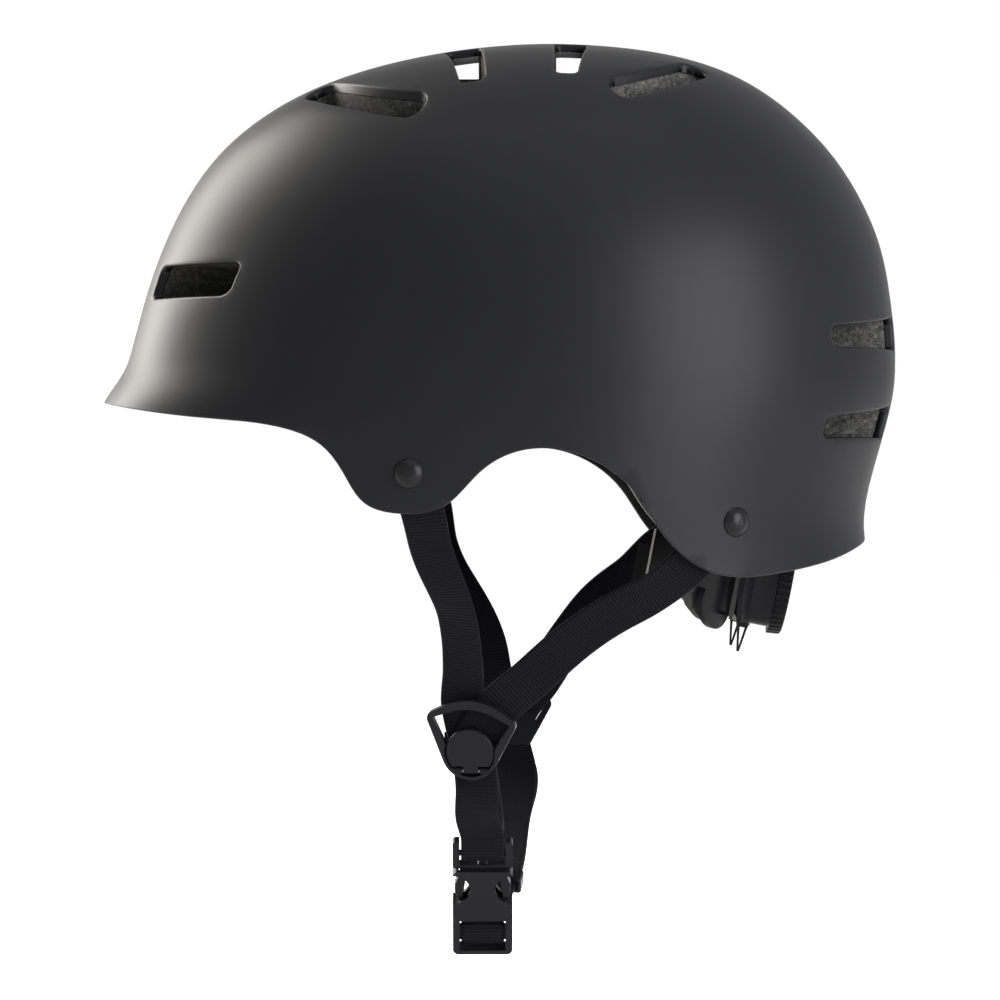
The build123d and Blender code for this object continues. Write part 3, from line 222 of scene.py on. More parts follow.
SHELL_SHINE = 0.13
shell_finish = plastic(
    "shell_satin", dark=(0.0058, 0.0060, 0.0072), light=(0.0074, 0.0077, 0.0092),
    rough_low=0.39, rough_high=0.44, shine=SHELL_SHINE,
)
gloss_finish = plastic(
    "buckle_gloss", dark=(0.0045, 0.0047, 0.0058), light=(0.0078, 0.0080, 0.0096),
    rough_low=0.24, rough_high=0.34, shine=0.10,
)
cradle_finish = plastic(
    "cradle_satin", dark=(0.0034, 0.0034, 0.0040), light=(0.0060, 0.0060, 0.0070),
    rough_low=0.34, rough_high=0.44, shine=0.06,
)
housing_finish = plastic(
    "housing_satin", dark=(0.0040, 0.0040, 0.0047), light=(0.0070, 0.0070, 0.0080),
    rough_low=0.30, rough_high=0.40, shine=0.07,
)
dial_finish = plastic(
    "dial_rubber", dark=(0.0035, 0.0035, 0.0040), light=(0.0065, 0.0065, 0.0072),
    rough_low=0.42, rough_high=0.52, shine=0.05, grain_strength=RUBBER_GRAIN_STRENGTH,
)
gear_finish = plastic(
    "gear_plain", dark=(0.08, 0.08, 0.085), light=(0.11, 0.11, 0.115),
    rough_low=0.40, rough_high=0.50, shine=0.3,
)
rivet_finish = plastic(
    "rivet_black", dark=(0.0050, 0.0050, 0.0058), light=(0.0080, 0.0080, 0.0090),
    rough_low=0.24, rough_high=0.34, shine=0.13,
)
print("plastics from", shell_finish.name, "to", rivet_finish.name)

# %% [markdown]
# A smooth surface mirrors its surroundings more and more towards its outline. The fine grain
# of a satin shell shades itself there, which a roughness value alone doesn't show, and the
# outline would glare. So the shell's shine falls as the surface turns away from the viewer,
# which a Layer Weight node measures.

# %% Softer shine towards the shell's outline
TURNED_START = 0.30
TURNED_END = 0.75
OUTLINE_SHINE = 0.045


def rescale(tree, low, high, from_low=0.0, from_high=1.0):
    """A value between two limits is moved to lie between two others."""
    node = tree.nodes.new("ShaderNodeMapRange")
    node.inputs["From Min"].default_value = from_low
    node.inputs["From Max"].default_value = from_high
    node.inputs["To Min"].default_value = low
    node.inputs["To Max"].default_value = high
    return node


tree = shell_finish.node_tree
turned = tree.nodes.new("ShaderNodeLayerWeight")
turned.inputs["Blend"].default_value = 0.5
shine_range = rescale(tree, SHELL_SHINE, OUTLINE_SHINE, TURNED_START, TURNED_END)
shell_shine = tree.nodes["Principled BSDF"].inputs["Specular IOR Level"]
tree.links.new(turned.outputs["Facing"], shine_range.inputs["Value"])
tree.links.new(shine_range.outputs["Result"], shell_shine)
print("the shell's shine falls from", SHELL_SHINE, "to", OUTLINE_SHINE)

# %% [markdown]
# Washers, lever pins and the dial's screw are plain steel. A metal has no colour of its own
# under its reflection, so it is made with full Metallic, and what tells steel from chrome is
# the brushed, uneven gloss. Noise on the roughness gives that without any relief.

# %% Steel
BRUSH_SCALE = 900.0
STEEL_SMOOTH = 0.26
STEEL_ROUGH = 0.46

steel_finish, tree, shader = new_material("steel_plain", (0.52, 0.52, 0.54), 0.34, Metallic=1.0)
place = tree.nodes.new("ShaderNodeTexCoord")
brushed = noise(tree, BRUSH_SCALE)
spread = rescale(tree, STEEL_SMOOTH, STEEL_ROUGH)
tree.links.new(place.outputs["Object"], brushed.inputs["Vector"])
tree.links.new(brushed.outputs["Fac"], spread.inputs["Value"])
tree.links.new(spread.outputs["Result"], shader.inputs["Roughness"])
print("steel has a roughness of", STEEL_SMOOTH, "to", STEEL_ROUGH)

# %% [markdown]
# The liner is expanded foam: beads a millimetre or so wide, blown up in a mould until they
# press flat against each other. Each bead is a little lighter or darker, and a dark line is
# painted round it as shade in the groove between beads. Modelled beads would be millions of
# faces. A Voronoi texture splits space into just such cells, so one gives each bead its tone,
# and a second one, which measures the way to the cell's edge, gives the painted shade along
# the seams and the slight swelling of each bead.

# %% Bead foam
BEADS_EACH_METRE = 780.0
SEAM_SHADE_WIDTH = 0.10
SEAM_SHADE_TONE = 0.35
BEAD_DEPTH = 0.25 * MM


def two_tones(tree, dark, light):
    """A ramp from a dark to a light tone."""
    node = tree.nodes.new("ShaderNodeValToRGB")
    node.color_ramp.elements[0].color = (*dark, 1)
    node.color_ramp.elements[1].color = (*light, 1)
    return node


bead_foam, tree, shader = new_material(
    "bead_foam", (0.05, 0.05, 0.05), 0.72, Specular_IOR_Level=0.08
)
place = tree.nodes.new("ShaderNodeTexCoord")
beads = tree.nodes.new("ShaderNodeTexVoronoi")
beads.inputs["Scale"].default_value = BEADS_EACH_METRE
bead_edge = tree.nodes.new("ShaderNodeTexVoronoi")
bead_edge.feature = "DISTANCE_TO_EDGE"
bead_edge.inputs["Scale"].default_value = BEADS_EACH_METRE
bead_tone = two_tones(tree, (0.032, 0.032, 0.031), (0.115, 0.113, 0.108))
# The dark line along each bead's edge is painted shade for the groove between beads.
seam_painted_shade = rescale(tree, SEAM_SHADE_TONE, 1.0, 0.0, SEAM_SHADE_WIDTH)
shade = tree.nodes.new("ShaderNodeMix")
shade.data_type = "RGBA"
shade.blend_type = "MULTIPLY"
shade.inputs["Factor"].default_value = 1.0
bead_bump = relief(tree, BEAD_DEPTH, strength=0.8)
link = tree.links.new
link(place.outputs["Object"], beads.inputs["Vector"])
link(place.outputs["Object"], bead_edge.inputs["Vector"])
link(beads.outputs["Color"], bead_tone.inputs["Fac"])
link(bead_edge.outputs["Distance"], seam_painted_shade.inputs["Value"])
link(bead_tone.outputs["Color"], shade.inputs["A"])
link(seam_painted_shade.outputs["Result"], shade.inputs["B"])
link(shade.outputs["Result"], shader.inputs["Base Color"])
link(bead_edge.outputs["Distance"], bead_bump.inputs["Height"])
link(bead_bump.outputs["Normal"], shader.inputs["Normal"])
print("foam has", BEADS_EACH_METRE, "beads in a metre")

# %% [markdown]
# The pads are covered in brushed knit, whose loose fibres stand up as a nap and clump
# together. Hair would show single fibres, but at this distance only the uneven tone and a
# faint sheen are seen. A fine noise is the nap, a coarse one times it is the clumps, and the
# shader's own sheen is the light that the fibres catch.

# %% Pad cloth
NAP_SCALE = 1500.0
CLUMP_SCALE = 160.0
NAP_DEPTH = 0.25 * MM


def arithmetic(tree, operation):
    """A node that adds, multiplies or compares two values."""
    node = tree.nodes.new("ShaderNodeMath")
    node.operation = operation
    return node


pad_cloth, tree, shader = new_material(
    "pad_cloth", (0.020, 0.020, 0.021), 0.9,
    Specular_IOR_Level=0.1, Sheen_Weight=0.15, Sheen_Roughness=0.5,
)
place = tree.nodes.new("ShaderNodeTexCoord")
nap = noise(tree, NAP_SCALE, detail=4.0)
clump = noise(tree, CLUMP_SCALE)
cloth_tone = two_tones(tree, (0.012, 0.012, 0.013), (0.034, 0.034, 0.036))
nap_mix = arithmetic(tree, "MULTIPLY")
nap_bump = relief(tree, NAP_DEPTH, strength=0.7)
link = tree.links.new
link(place.outputs["Object"], nap.inputs["Vector"])
link(place.outputs["Object"], clump.inputs["Vector"])
link(nap.outputs["Fac"], nap_mix.inputs[0])
link(clump.outputs["Fac"], nap_mix.inputs[1])
link(nap.outputs["Fac"], cloth_tone.inputs["Fac"])
link(nap_mix.outputs["Value"], nap_bump.inputs["Height"])
link(cloth_tone.outputs["Color"], shader.inputs["Base Color"])
link(nap_bump.outputs["Normal"], shader.inputs["Normal"])
print("pad cloth has a nap", round(NAP_SCALE / CLUMP_SCALE, 1), "times finer than its clumps")

# %% [markdown]
# Each rigid CAD node gets the finish of what it is made of, and a copy of it made below takes
# the same one. Straps and pads aren't in this list, because they are made anew.

# %% Paint the CAD nodes
def paint(name, material):
    """Every slot of a CAD node gets one material."""
    for slot in nodes[name].material_slots:
        slot.material = material


finishes = {
    "outer_shell": shell_finish, "foam_liner": bead_foam, "hook_patches": pad_cloth,
    "strap_rivets": rivet_finish, "rivet_washers": steel_finish, "lever_pins": steel_finish,
    "dial_screw": steel_finish, "strap_keeper": gloss_finish,
    "divider_frame_left": gloss_finish, "divider_frame_right": gloss_finish,
    "divider_lever_left": gloss_finish, "divider_lever_right": gloss_finish,
    "buckle_plug": gloss_finish, "buckle_arm_front": gloss_finish,
    "buckle_arm_rear": gloss_finish, "buckle_socket": gloss_finish,
    "cradle": cradle_finish, "cradle_anchors": cradle_finish,
    "band_left": cradle_finish, "band_right": cradle_finish,
    "retention_housing": housing_finish, "detent_ring": gear_finish,
    "dial_knob": dial_finish, "dial_pinion": gear_finish,
}
for name, finish in finishes.items():
    paint(name, finish)
print(len(finishes), "nodes painted")

# %% [markdown]
# The chin straps are flat polyester webbing. Heavy cross threads stand up as ribs on both
# faces, and both edges are smooth. Its finish reads the tape's own UV map, in metres along
# and across it, because threads follow every bend, which coordinates of the whole object
# can't. A wave texture at scale 1 has one wave in a tenth of pi metres, and its scale is
# worked out from that, so that its bands are as wide as the modelled ribs.

# %% Webbing finish
RIB_PITCH = 1.15 * MM
THREAD_PITCH = 0.5 * MM
THREAD_WANDER = 1.2
WANDER_SCALE = 300.0
THREAD_DEPTH = 0.09 * MM
FIBRE_SCALE = 2200.0
WAVE_AT_SCALE_1 = pi / 10

tape_finish, tree, shader = new_material(
    "woven_tape", (0.008, 0.008, 0.010), 0.62,
    Specular_IOR_Level=0.05, Sheen_Weight=0.01, Sheen_Roughness=0.4,
)
tape_map = tree.nodes.new("ShaderNodeUVMap")
tape_map.uv_map = "tape"
ribs = tree.nodes.new("ShaderNodeTexWave")
ribs.bands_direction = "Y"
ribs.inputs["Scale"].default_value = WAVE_AT_SCALE_1 / RIB_PITCH
ribs.inputs["Distortion"].default_value = 0.0
threads = tree.nodes.new("ShaderNodeTexWave")
threads.bands_direction = "X"
threads.inputs["Scale"].default_value = WAVE_AT_SCALE_1 / THREAD_PITCH
threads.inputs["Distortion"].default_value = THREAD_WANDER
threads.inputs["Detail Scale"].default_value = WANDER_SCALE
rib_tone = two_tones(tree, (0.0012, 0.0012, 0.0018), (0.0070, 0.0071, 0.0092))
fibre = noise(tree, FIBRE_SCALE, detail=3.0)
thread_height = arithmetic(tree, "ADD")
tape_bump = relief(tree, THREAD_DEPTH, strength=0.8)
link = tree.links.new
link(tape_map.outputs["UV"], ribs.inputs["Vector"])
link(tape_map.outputs["UV"], threads.inputs["Vector"])
link(tape_map.outputs["UV"], fibre.inputs["Vector"])
link(ribs.outputs["Fac"], rib_tone.inputs["Fac"])
link(threads.outputs["Fac"], thread_height.inputs[0])
link(fibre.outputs["Fac"], thread_height.inputs[1])
link(thread_height.outputs["Value"], tape_bump.inputs["Height"])
link(rib_tone.outputs["Color"], shader.inputs["Base Color"])
link(tape_bump.outputs["Normal"], shader.inputs["Normal"])
print("webbing has a rib every", round(RIB_PITCH / MM, 2), "mm")

# %% [markdown]
# Each strap is one tape. It runs from the front rivet through its divider, round a bar of the
# buckle and back to the rear rivet, and the CAD solid already lies along that route. A second
# route drawn by hand would soon part from it, so this one is read from the solid. That solid
# is a bar with four long edges, which meet a corner point at every section of the route. The
# walk starts at a corner of an end face and follows the sharp edges to the other end.

# %% Read a strap's four long edges
MERGE_REACH = 0.002 * MM
STRAP_SHARP = radians(60)


def corner_lines(mesh):
    """The four long edges of a strap, as points by section and corner, in metres."""
    build = bmesh.new()
    build.from_mesh(mesh)
    bmesh.ops.remove_doubles(build, verts=build.verts, dist=MERGE_REACH)
    sharp = {edge for edge in build.edges if edge.calc_face_angle() > STRAP_SHARP}
    corners = [vert for vert in build.verts if len(sharp.intersection(vert.link_edges)) == 3]
    ends = {edge for edge in sharp if all(vert in corners for vert in edge.verts)}
    ring = corners[:1]
    while len(ring) < 4:
        near = [edge.other_vert(ring[-1]) for edge in ends.intersection(ring[-1].link_edges)]
        fresh = [vert for vert in near if vert not in ring]
        ring.append(min(fresh, key=lambda vert: (vert.co - ring[-1].co).length))
    lines = []
    for vert in ring:
        line = [vert.co[:]]
        edge = None
        while len(line) == 1 or vert not in corners:
            onward = (sharp - ends).intersection(vert.link_edges)
            edge = next(other for other in onward if other is not edge)
            vert = edge.other_vert(vert)
            line.append(vert.co[:])
        lines.append(line)
    build.free()
    return np.stack(lines, axis=1)


strap_sections = {}
for side in ("left", "right"):
    strap_sections[side] = corner_lines(nodes[f"strap_{side}"].data)
    print(f"strap_{side} has", len(strap_sections[side]), "sections")

# %% [markdown]
# The sections are further apart than the ribs. Straight lines between them would show as
# kinks in the light, so a natural cubic spline runs through them: the curve that a thin
# springy strip takes when it is held at those points. It is read at even steps, four for each
# rib, and gives the middle of the tape, the way across it and the way out of its face.

# %% Run a smooth route through the sections
STEPS_PER_RIB = 4


def spline_at(knots, values, where):
    """A natural cubic spline through rows of values."""
    gaps = np.diff(knots)[:, None]
    slopes = np.diff(values, axis=0) / gaps
    system = np.eye(len(knots))
    bends = np.zeros_like(values)
    for n in range(1, len(knots) - 1):
        system[n, n - 1 : n + 2] = gaps[n - 1, 0], 2 * (gaps[n - 1, 0] + gaps[n, 0]), gaps[n, 0]
        bends[n] = 6 * (slopes[n] - slopes[n - 1])
    bends = np.linalg.solve(system, bends)
    span = np.clip(np.searchsorted(knots, where, side="right") - 1, 0, len(gaps) - 1)
    share = (where - knots[span])[:, None] / gaps[span]
    rest = 1 - share
    pull = (rest**3 - rest) * bends[span] + (share**3 - share) * bends[span + 1]
    return rest * values[span] + share * values[span + 1] + pull * gaps[span] ** 2 / 6


def unit(rows):
    """Rows of the same directions, each of length 1."""
    return rows / np.linalg.norm(rows, axis=1)[:, None]


def tape_route(sections):
    """The tape's length, and its middle, way across and way out at every step."""
    steps = np.linalg.norm(np.diff(sections.mean(axis=1), axis=0), axis=1)
    knots = np.concatenate([[0], np.cumsum(steps)])
    length = knots[-1]
    rows = floor(length / RIB_PITCH) * STEPS_PER_RIB
    even = np.linspace(0, length, rows + 1)
    route = spline_at(knots, sections.reshape(len(knots), -1), even).reshape(-1, 4, 3)
    across = unit(route[:, 0] + route[:, 1] - route[:, 2] - route[:, 3])
    out = unit(route[:, 0] - route[:, 1] - route[:, 2] + route[:, 3])
    return length, route.mean(axis=1), across, out


strap_routes = {}
for side, sections in strap_sections.items():
    strap_routes[side] = tape_route(sections)
    print(f"strap_{side} is", round(strap_routes[side][0], 3), "m long")

# %% [markdown]
# The tape itself starts as a flat grid, one row for each step of the route. Its sides are
# rolled round into a thin section with rounded lips, and its rows are laid along the route,
# pressed in between the ribs. Cloth simulation would let the tape fall off its bars, and a
# remesh would wipe out the ribs, so it is laid directly. On the way round, each face takes
# most of its half turn, and the lip gets the rest, so that it has points enough to be round.

# %% Weave the tapes
AROUND = 30
FLAT_SHARE = 0.8
RIB_HEIGHT = 0.13 * MM
EDGE_WIDTH = 1.1 * MM
SEAM_REACH = 0.01 * MM


def section_point(turn, width, wall):
    """Place across and out on the tape's rounded section."""
    lip = wall / 2
    flat = width / 2 - lip
    side = 1 if turn < 0.5 else -1
    share = (turn % 0.5) / 0.5
    if share < FLAT_SHARE:
        return side * (flat - 2 * flat * share / FLAT_SHARE), side * lip
    angle = pi * (share - FLAT_SHARE) / (1 - FLAT_SHARE)
    return side * (-flat - lip * sin(angle)), side * lip * cos(angle)


def make_tape(name, first_section, route):
    """A ribbed tape of the first section's size, laid along a route."""
    wall = np.linalg.norm(first_section[0] - first_section[1])
    width = np.linalg.norm(first_section[0] - first_section[3])
    length, path, across, out = route
    rows = len(path) - 1
    build = bmesh.new()
    bmesh.ops.create_grid(build, x_segments=AROUND, y_segments=rows, size=0.5)
    sheet = build.loops.layers.uv.new("tape")
    for face in build.faces:
        for corner in face.loops:
            place = corner.vert.co
            corner[sheet].uv = ((place.x + 0.5) * 2 * width, (place.y + 0.5) * length)
    for vert in build.verts:
        turn = (vert.co.x + 0.5) % 1.0
        row = round((vert.co.y + 0.5) * rows)
        wide, high = section_point(turn, width, wall)
        if width / 2 - abs(wide) > EDGE_WIDTH:
            wave = 0.5 + 0.5 * cos(2 * pi * row / STEPS_PER_RIB)
            high -= RIB_HEIGHT * (1 - wave) * (1 if high > 0 else -1)
        vert.co = Vector(path[row] + across[row] * wide + out[row] * high)
    bmesh.ops.remove_doubles(build, verts=build.verts, dist=SEAM_REACH)
    rims = [edge for edge in build.edges if edge.is_boundary]
    bmesh.ops.holes_fill(build, edges=rims, sides=0)
    bmesh.ops.recalc_face_normals(build, faces=build.faces)
    for face in build.faces:
        face.smooth = True
    mesh = bpy.data.meshes.new(name)
    build.to_mesh(mesh)
    build.free()
    mesh.materials.append(tape_finish)
    tape = bpy.data.objects.new(name, mesh)
    bpy.context.scene.collection.objects.link(tape)
    print(name, "is", round(width / MM, 1), "mm wide and has", len(mesh.polygons), "faces")
    return tape


for side in ("left", "right"):
    tape = make_tape(f"tape_{side}", strap_sections[side][0], strap_routes[side])
    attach(tape, "helmet")
    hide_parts(f"strap_{side}")

# %% [markdown]
# No moulded piece has a razor edge, and it is the rounded edge that catches a thin line of
# light and makes a small part look real. The buckle, the dividers, the keeper, the cradle and
# the housing get copies with such edges. They could be rounded in CAD, but a bevel modifier
# does it here without any new face in the mechanical model. The copy's loose triangles are
# merged and its flat faces joined first, so that the bevel meets real edges only.

# %% Round the edges of the small parts
FLAT_ANGLE = radians(0.6)
SHARP_ANGLE = radians(35)


def soften(node, body, width):
    """A copy of a CAD node with rounded edges, in that node's place and finish."""
    mesh = nodes[node].data.copy()
    mesh.name = f"{node}_soft"
    build = bmesh.new()
    build.from_mesh(mesh)
    bmesh.ops.remove_doubles(build, verts=build.verts, dist=MERGE_REACH)
    bmesh.ops.dissolve_limit(
        build, angle_limit=FLAT_ANGLE, verts=build.verts, edges=build.edges, delimit={"NORMAL"}
    )
    build.to_mesh(mesh)
    build.free()
    mesh.materials.clear()
    mesh.materials.append(finishes[node])
    piece = bpy.data.objects.new(f"{node}_soft", mesh)
    bpy.context.scene.collection.objects.link(piece)
    for polygon in mesh.polygons:
        polygon.use_smooth = True
    mesh.set_sharp_from_angle(angle=SHARP_ANGLE)
    edge_round = piece.modifiers.new("edge_round", "BEVEL")
    edge_round.width = width
    edge_round.segments = 2
    edge_round.limit_method = "ANGLE"
    edge_round.angle_limit = SHARP_ANGLE
    edge_round.use_clamp_overlap = True
    edge_round.harden_normals = True
    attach(piece, body)
    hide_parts(node)
    return piece


softened = [
    ("divider_frame_left", "helmet", 0.45, "strap_plastic"),
    ("divider_frame_right", "helmet", 0.45, "strap_plastic"),
    ("divider_lever_left", "lever_left", 0.20, "strap_plastic"),
    ("divider_lever_right", "lever_right", 0.20, "strap_plastic"),
    ("strap_keeper", "helmet", 0.35, "strap_plastic"),
    ("buckle_plug", "helmet", 0.55, "buckle_plastic"),
    ("buckle_socket", "helmet", 0.60, "buckle_plastic"),
    ("buckle_arm_front", "arm_front", 0.30, "buckle_plastic"),
    ("buckle_arm_rear", "arm_rear", 0.30, "buckle_plastic"),
    ("cradle", "helmet", 0.30, "cradle_plastic"),
    ("retention_housing", "helmet", 0.35, "housing_plastic"),
]
for node, body, width, slot_name in softened:
    piece = soften(node, body, width * MM)
    print(piece.name, len(piece.data.polygons), "faces before its bevel")

# %% [markdown]
# The shell's rim is rounded too, all the way round, while its vents are cut crisp. A bevel by
# angle would take every sharp edge, and the small rivet holes have no room for one. So the
# sharp edges are sorted into lines that hang together. Only the two lines longer than any
# vent, the rim's outer and inner one, get a bevel weight, and the bevel goes by weight.

# %% Round the shell's rim
SHELL_ROUND = 0.6 * MM
RIM_SHARP = radians(50)
RIM_LEAST = 0.5


def edge_chains(edges):
    """Groups of edges that hang together."""
    left = set(edges)
    chains = []
    for start in edges:
        if start not in left:
            continue
        left.remove(start)
        chain = [start]
        # The chain grows while it is walked, until no edge beside it is left.
        for edge in chain:
            for vert in edge.verts:
                fresh = [other for other in vert.link_edges if other in left]
                left.difference_update(fresh)
                chain.extend(fresh)
        chains.append(chain)
    return chains


shell = soften("outer_shell", "helmet", SHELL_ROUND)
build = bmesh.new()
build.from_mesh(shell.data)
weight = build.edges.layers.float.new("bevel_weight_edge")
sharp = [edge for edge in build.edges if edge.is_manifold and edge.calc_face_angle() > RIM_SHARP]
for chain in edge_chains(sharp):
    length = sum(edge.calc_length() for edge in chain)
    if length > RIM_LEAST:
        print("a rim line of", round(length, 3), "m")
        for edge in chain:
            edge[weight] = 1.0
build.to_mesh(shell.data)
build.free()
rim_round = shell.modifiers["edge_round"]
rim_round.limit_method = "WEIGHT"
rim_round.use_clamp_overlap = False
rim_round.segments = 3

# %% [markdown]
# The comfort pads are soft foam in cloth, stuck to the liner by hook patches. Such a pad is
# crowned, and its sides pull in. That could be sculpted, but a cloth simulation finds the
# form by itself: a copy of the CAD solid is remeshed into even faces, made slightly smaller
# and blown up from inside, as the foam presses on its cover. A cap on how far a point may
# move keeps each pad in its space.

# %% Helpers for the pads
PAD_FRAMES = 20
PAD_PRESSURE = 4.0
SMOOTH_PASSES = 3


def pad_copy(node, name, voxel, shrink):
    """A remeshed, slightly smaller copy of a pad, which rides on nothing yet."""
    mesh = nodes[node].data.copy()
    mesh.name = name
    build = bmesh.new()
    build.from_mesh(mesh)
    bmesh.ops.remove_doubles(build, verts=build.verts, dist=MERGE_REACH)
    build.to_mesh(mesh)
    build.free()
    pad = bpy.data.objects.new(name, mesh)
    bpy.context.scene.collection.objects.link(pad)
    remesh = pad.modifiers.new("even", "REMESH")
    remesh.mode = "VOXEL"
    remesh.voxel_size = voxel
    graph = bpy.context.evaluated_depsgraph_get()
    even = bpy.data.meshes.new_from_object(pad.evaluated_get(graph))
    pad.modifiers.clear()
    pad.data = even
    bpy.data.meshes.remove(mesh)
    even.name = name
    build = bmesh.new()
    build.from_mesh(even)
    for _ in range(SMOOTH_PASSES):
        bmesh.ops.smooth_vert(
            build, verts=build.verts, factor=0.5, use_axis_x=True, use_axis_y=True, use_axis_z=True
        )
    build.normal_update()
    for vert in build.verts:
        vert.co -= vert.normal * shrink
    build.to_mesh(even)
    build.free()
    return pad


def blow_up(pad, cap):
    """A cloth simulation with pressure, and a cap on how far any point may move."""
    before = [vert.co.copy() for vert in pad.data.vertices]
    cloth = pad.modifiers.new("cloth", "CLOTH")
    cloth.settings.use_pressure = True
    cloth.settings.uniform_pressure_force = PAD_PRESSURE
    cloth.settings.effector_weights.gravity = 0.0
    cloth.point_cache.frame_start = 1
    cloth.point_cache.frame_end = PAD_FRAMES
    for frame_number in range(1, PAD_FRAMES + 1):
        bpy.context.scene.frame_set(frame_number)
    graph = bpy.context.evaluated_depsgraph_get()
    after = [vert.co.copy() for vert in pad.evaluated_get(graph).data.vertices]
    pad.modifiers.clear()
    furthest = 0.0
    for vert, old, new in zip(pad.data.vertices, before, after):
        move = new - old
        if move.length > cap:
            move = move.normalized() * cap
        furthest = max(furthest, move.length)
        vert.co = old + move
    bpy.context.scene.frame_set(1)
    return furthest


# %% [markdown]
# All six pads go through the same steps, and one level of subdivision smooths each at the
# end. Those on the liner are thick. The cradle's are thin, so theirs is a finer remesh, and
# they start less shrunk and swell less.

# %% Make the pads
THICK = {"voxel": 2.4 * MM, "shrink": 0.9 * MM, "cap": 1.3 * MM}
THIN = {"voxel": 1.1 * MM, "shrink": 0.3 * MM, "cap": 0.45 * MM}

pads = {
    "crown_pad": ("pad_fabric", THICK),
    "brow_pad": ("pad_fabric", THICK),
    "side_pad_left": ("pad_fabric", THICK),
    "side_pad_right": ("pad_fabric", THICK),
    "rear_pad": ("pad_fabric", THICK),
    "cradle_pads": ("cradle_foam", THIN),
}
for node, (slot_name, pad_size) in pads.items():
    pad = pad_copy(node, f"{node}_cushion", pad_size["voxel"], pad_size["shrink"])
    moved = blow_up(pad, pad_size["cap"])
    for polygon in pad.data.polygons:
        polygon.use_smooth = True
    finer = pad.modifiers.new("finer", "SUBSURF")
    finer.levels = 1
    finer.render_levels = 1
    pad.data.materials.clear()
    pad.data.materials.append(pad_cloth)
    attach(pad, "helmet")
    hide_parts(node)
    print(pad.name, len(pad.data.polygons), "faces, moved up to", round(moved / MM, 2), "mm")

# %% [markdown]
# The photograph has a white background. A white world bright enough to look white would also
# light the helmet from all round, and wash out its black. So the world has two strengths: a
# weak one that lights, and full white for rays that come from the camera, directly or by way
# of a reflection, which a Light Path node can tell apart.

# %% White surround
WHITE = (1.0, 1.0, 1.0)
WORLD_LIGHT = 0.22
WORLD_SEEN = 1.0


def seen_by_eye(tree):
    """1 for rays from the camera, in a reflection or through glass, and 0 for lighting."""
    ray = tree.nodes.new("ShaderNodeLightPath")
    total = arithmetic(tree, "MAXIMUM")
    mirrored = arithmetic(tree, "MAXIMUM")
    tree.links.new(ray.outputs["Is Glossy Ray"], mirrored.inputs[0])
    tree.links.new(ray.outputs["Is Transmission Ray"], mirrored.inputs[1])
    tree.links.new(ray.outputs["Is Camera Ray"], total.inputs[0])
    tree.links.new(mirrored.outputs["Value"], total.inputs[1])
    return total.outputs["Value"]


world = bpy.data.worlds.new("studio")
bpy.context.scene.world = world
world.use_nodes = True
tree = world.node_tree
plain = tree.nodes["Background"]
plain.inputs["Color"].default_value = (*WHITE, 1)
plain.inputs["Strength"].default_value = WORLD_LIGHT
white = tree.nodes.new("ShaderNodeBackground")
white.inputs["Color"].default_value = (*WHITE, 1)
white.inputs["Strength"].default_value = WORLD_SEEN
choice = tree.nodes.new("ShaderNodeMixShader")
tree.links.new(seen_by_eye(tree), choice.inputs["Fac"])
tree.links.new(plain.outputs["Background"], choice.inputs[1])
tree.links.new(white.outputs["Background"], choice.inputs[2])
tree.links.new(choice.outputs["Shader"], tree.nodes["World Output"].inputs["Surface"])
print("the world lights with", WORLD_LIGHT, "and is seen as", WORLD_SEEN)

# %% [markdown]
# A black shell is drawn by what it mirrors. A tall warm light ahead of the helmet, on its far
# side, edges the brow and the visor. A broad cooler one behind it, on the near side, puts the
# soft sheen ahead of the rear vents. Each is a rectangular area lamp, as a soft box in a
# studio is, turned to the middle of the helmet, and a weak one above fills the crown.

# %% Soft boxes
HELMET_MIDDLE = (0.0, -0.02, -0.10)
WARM = (1.0, 0.965, 0.90)
COOL = (0.98, 0.975, 1.0)


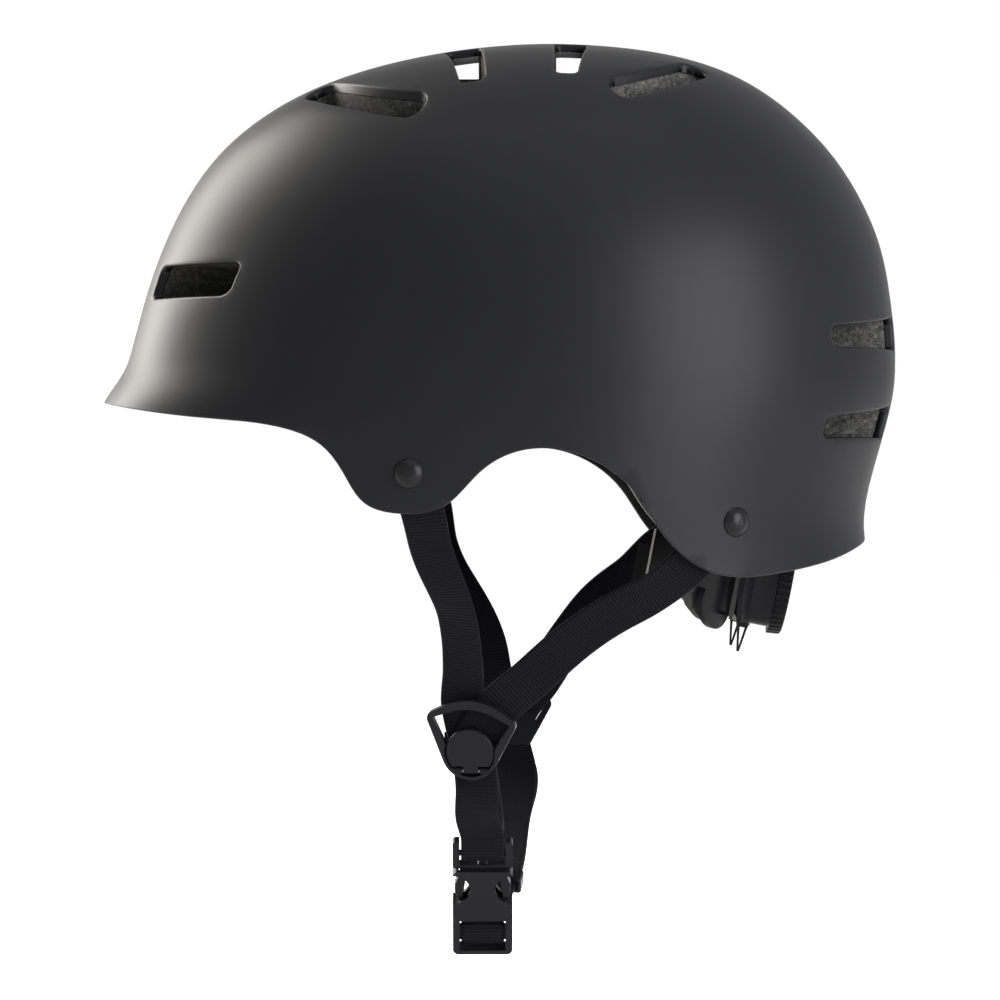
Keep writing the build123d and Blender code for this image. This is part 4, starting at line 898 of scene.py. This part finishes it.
def soft_box(name, place, width, height, power, colour):
    """A rectangular area lamp, turned to the helmet."""
    light = bpy.data.lights.new(name, "AREA")
    light.shape = "RECTANGLE"
    light.size = width
    light.size_y = height
    light.energy = power
    light.color = colour
    lamp = bpy.data.objects.new(name, light)
    bpy.context.scene.collection.objects.link(lamp)
    lamp.location = place
    way = Vector(HELMET_MIDDLE) - Vector(place)
    lamp.rotation_euler = way.to_track_quat("-Z", "Y").to_euler()
    print(name, "has", power, "W,", round(way.length, 2), "m away")


soft_box("front_box", (-1.00, -1.22, 0.30), width=0.74, height=2.0, power=84, colour=WARM)
soft_box("rear_box", (0.95, 1.02, 0.10), width=0.9, height=1.4, power=40, colour=COOL)
soft_box("top_box", (0.5, 0.1, 1.35), width=1.3, height=1.3, power=5, colour=WHITE)

# %% [markdown]
# A pale floor a little below the buckle keeps the helmet's soft shadow and lights it faintly
# from below. Its glow for the camera brings it to the white of the surround. From below it
# would hide the inside of the helmet, so its underside is clear.

# %% Floor
FLOOR_RADIUS = 6.0
FLOOR_DROP = 0.05
FLOOR_GLOW = 0.85

floor_mesh = bpy.data.meshes.new("floor")
build = bmesh.new()
bmesh.ops.create_circle(build, cap_ends=True, segments=96, radius=FLOOR_RADIUS)
build.to_mesh(floor_mesh)
build.free()
ground = bpy.data.objects.new("floor", floor_mesh)
bpy.context.scene.collection.objects.link(ground)
ground.location = (0, 0, cad_box[0][2] - FLOOR_DROP)
floor_finish, tree, shader = new_material("floor_pale", (0.86, 0.86, 0.86), 0.9)
shader.inputs["Emission Color"].default_value = (*WHITE, 1)
glow = arithmetic(tree, "MULTIPLY")
glow.inputs[1].default_value = FLOOR_GLOW
clear = tree.nodes.new("ShaderNodeBsdfTransparent")
side_seen = tree.nodes.new("ShaderNodeNewGeometry")
floor_mix = tree.nodes.new("ShaderNodeMixShader")
tree.links.new(seen_by_eye(tree), glow.inputs[0])
tree.links.new(glow.outputs["Value"], shader.inputs["Emission Strength"])
tree.links.new(side_seen.outputs["Backfacing"], floor_mix.inputs["Fac"])
tree.links.new(shader.outputs["BSDF"], floor_mix.inputs[1])
tree.links.new(clear.outputs["BSDF"], floor_mix.inputs[2])
tree.links.new(floor_mix.outputs["Shader"], tree.nodes["Material Output"].inputs["Surface"])
floor_mesh.materials.append(floor_finish)
print("floor at", round(ground.location.z, 3), "m")
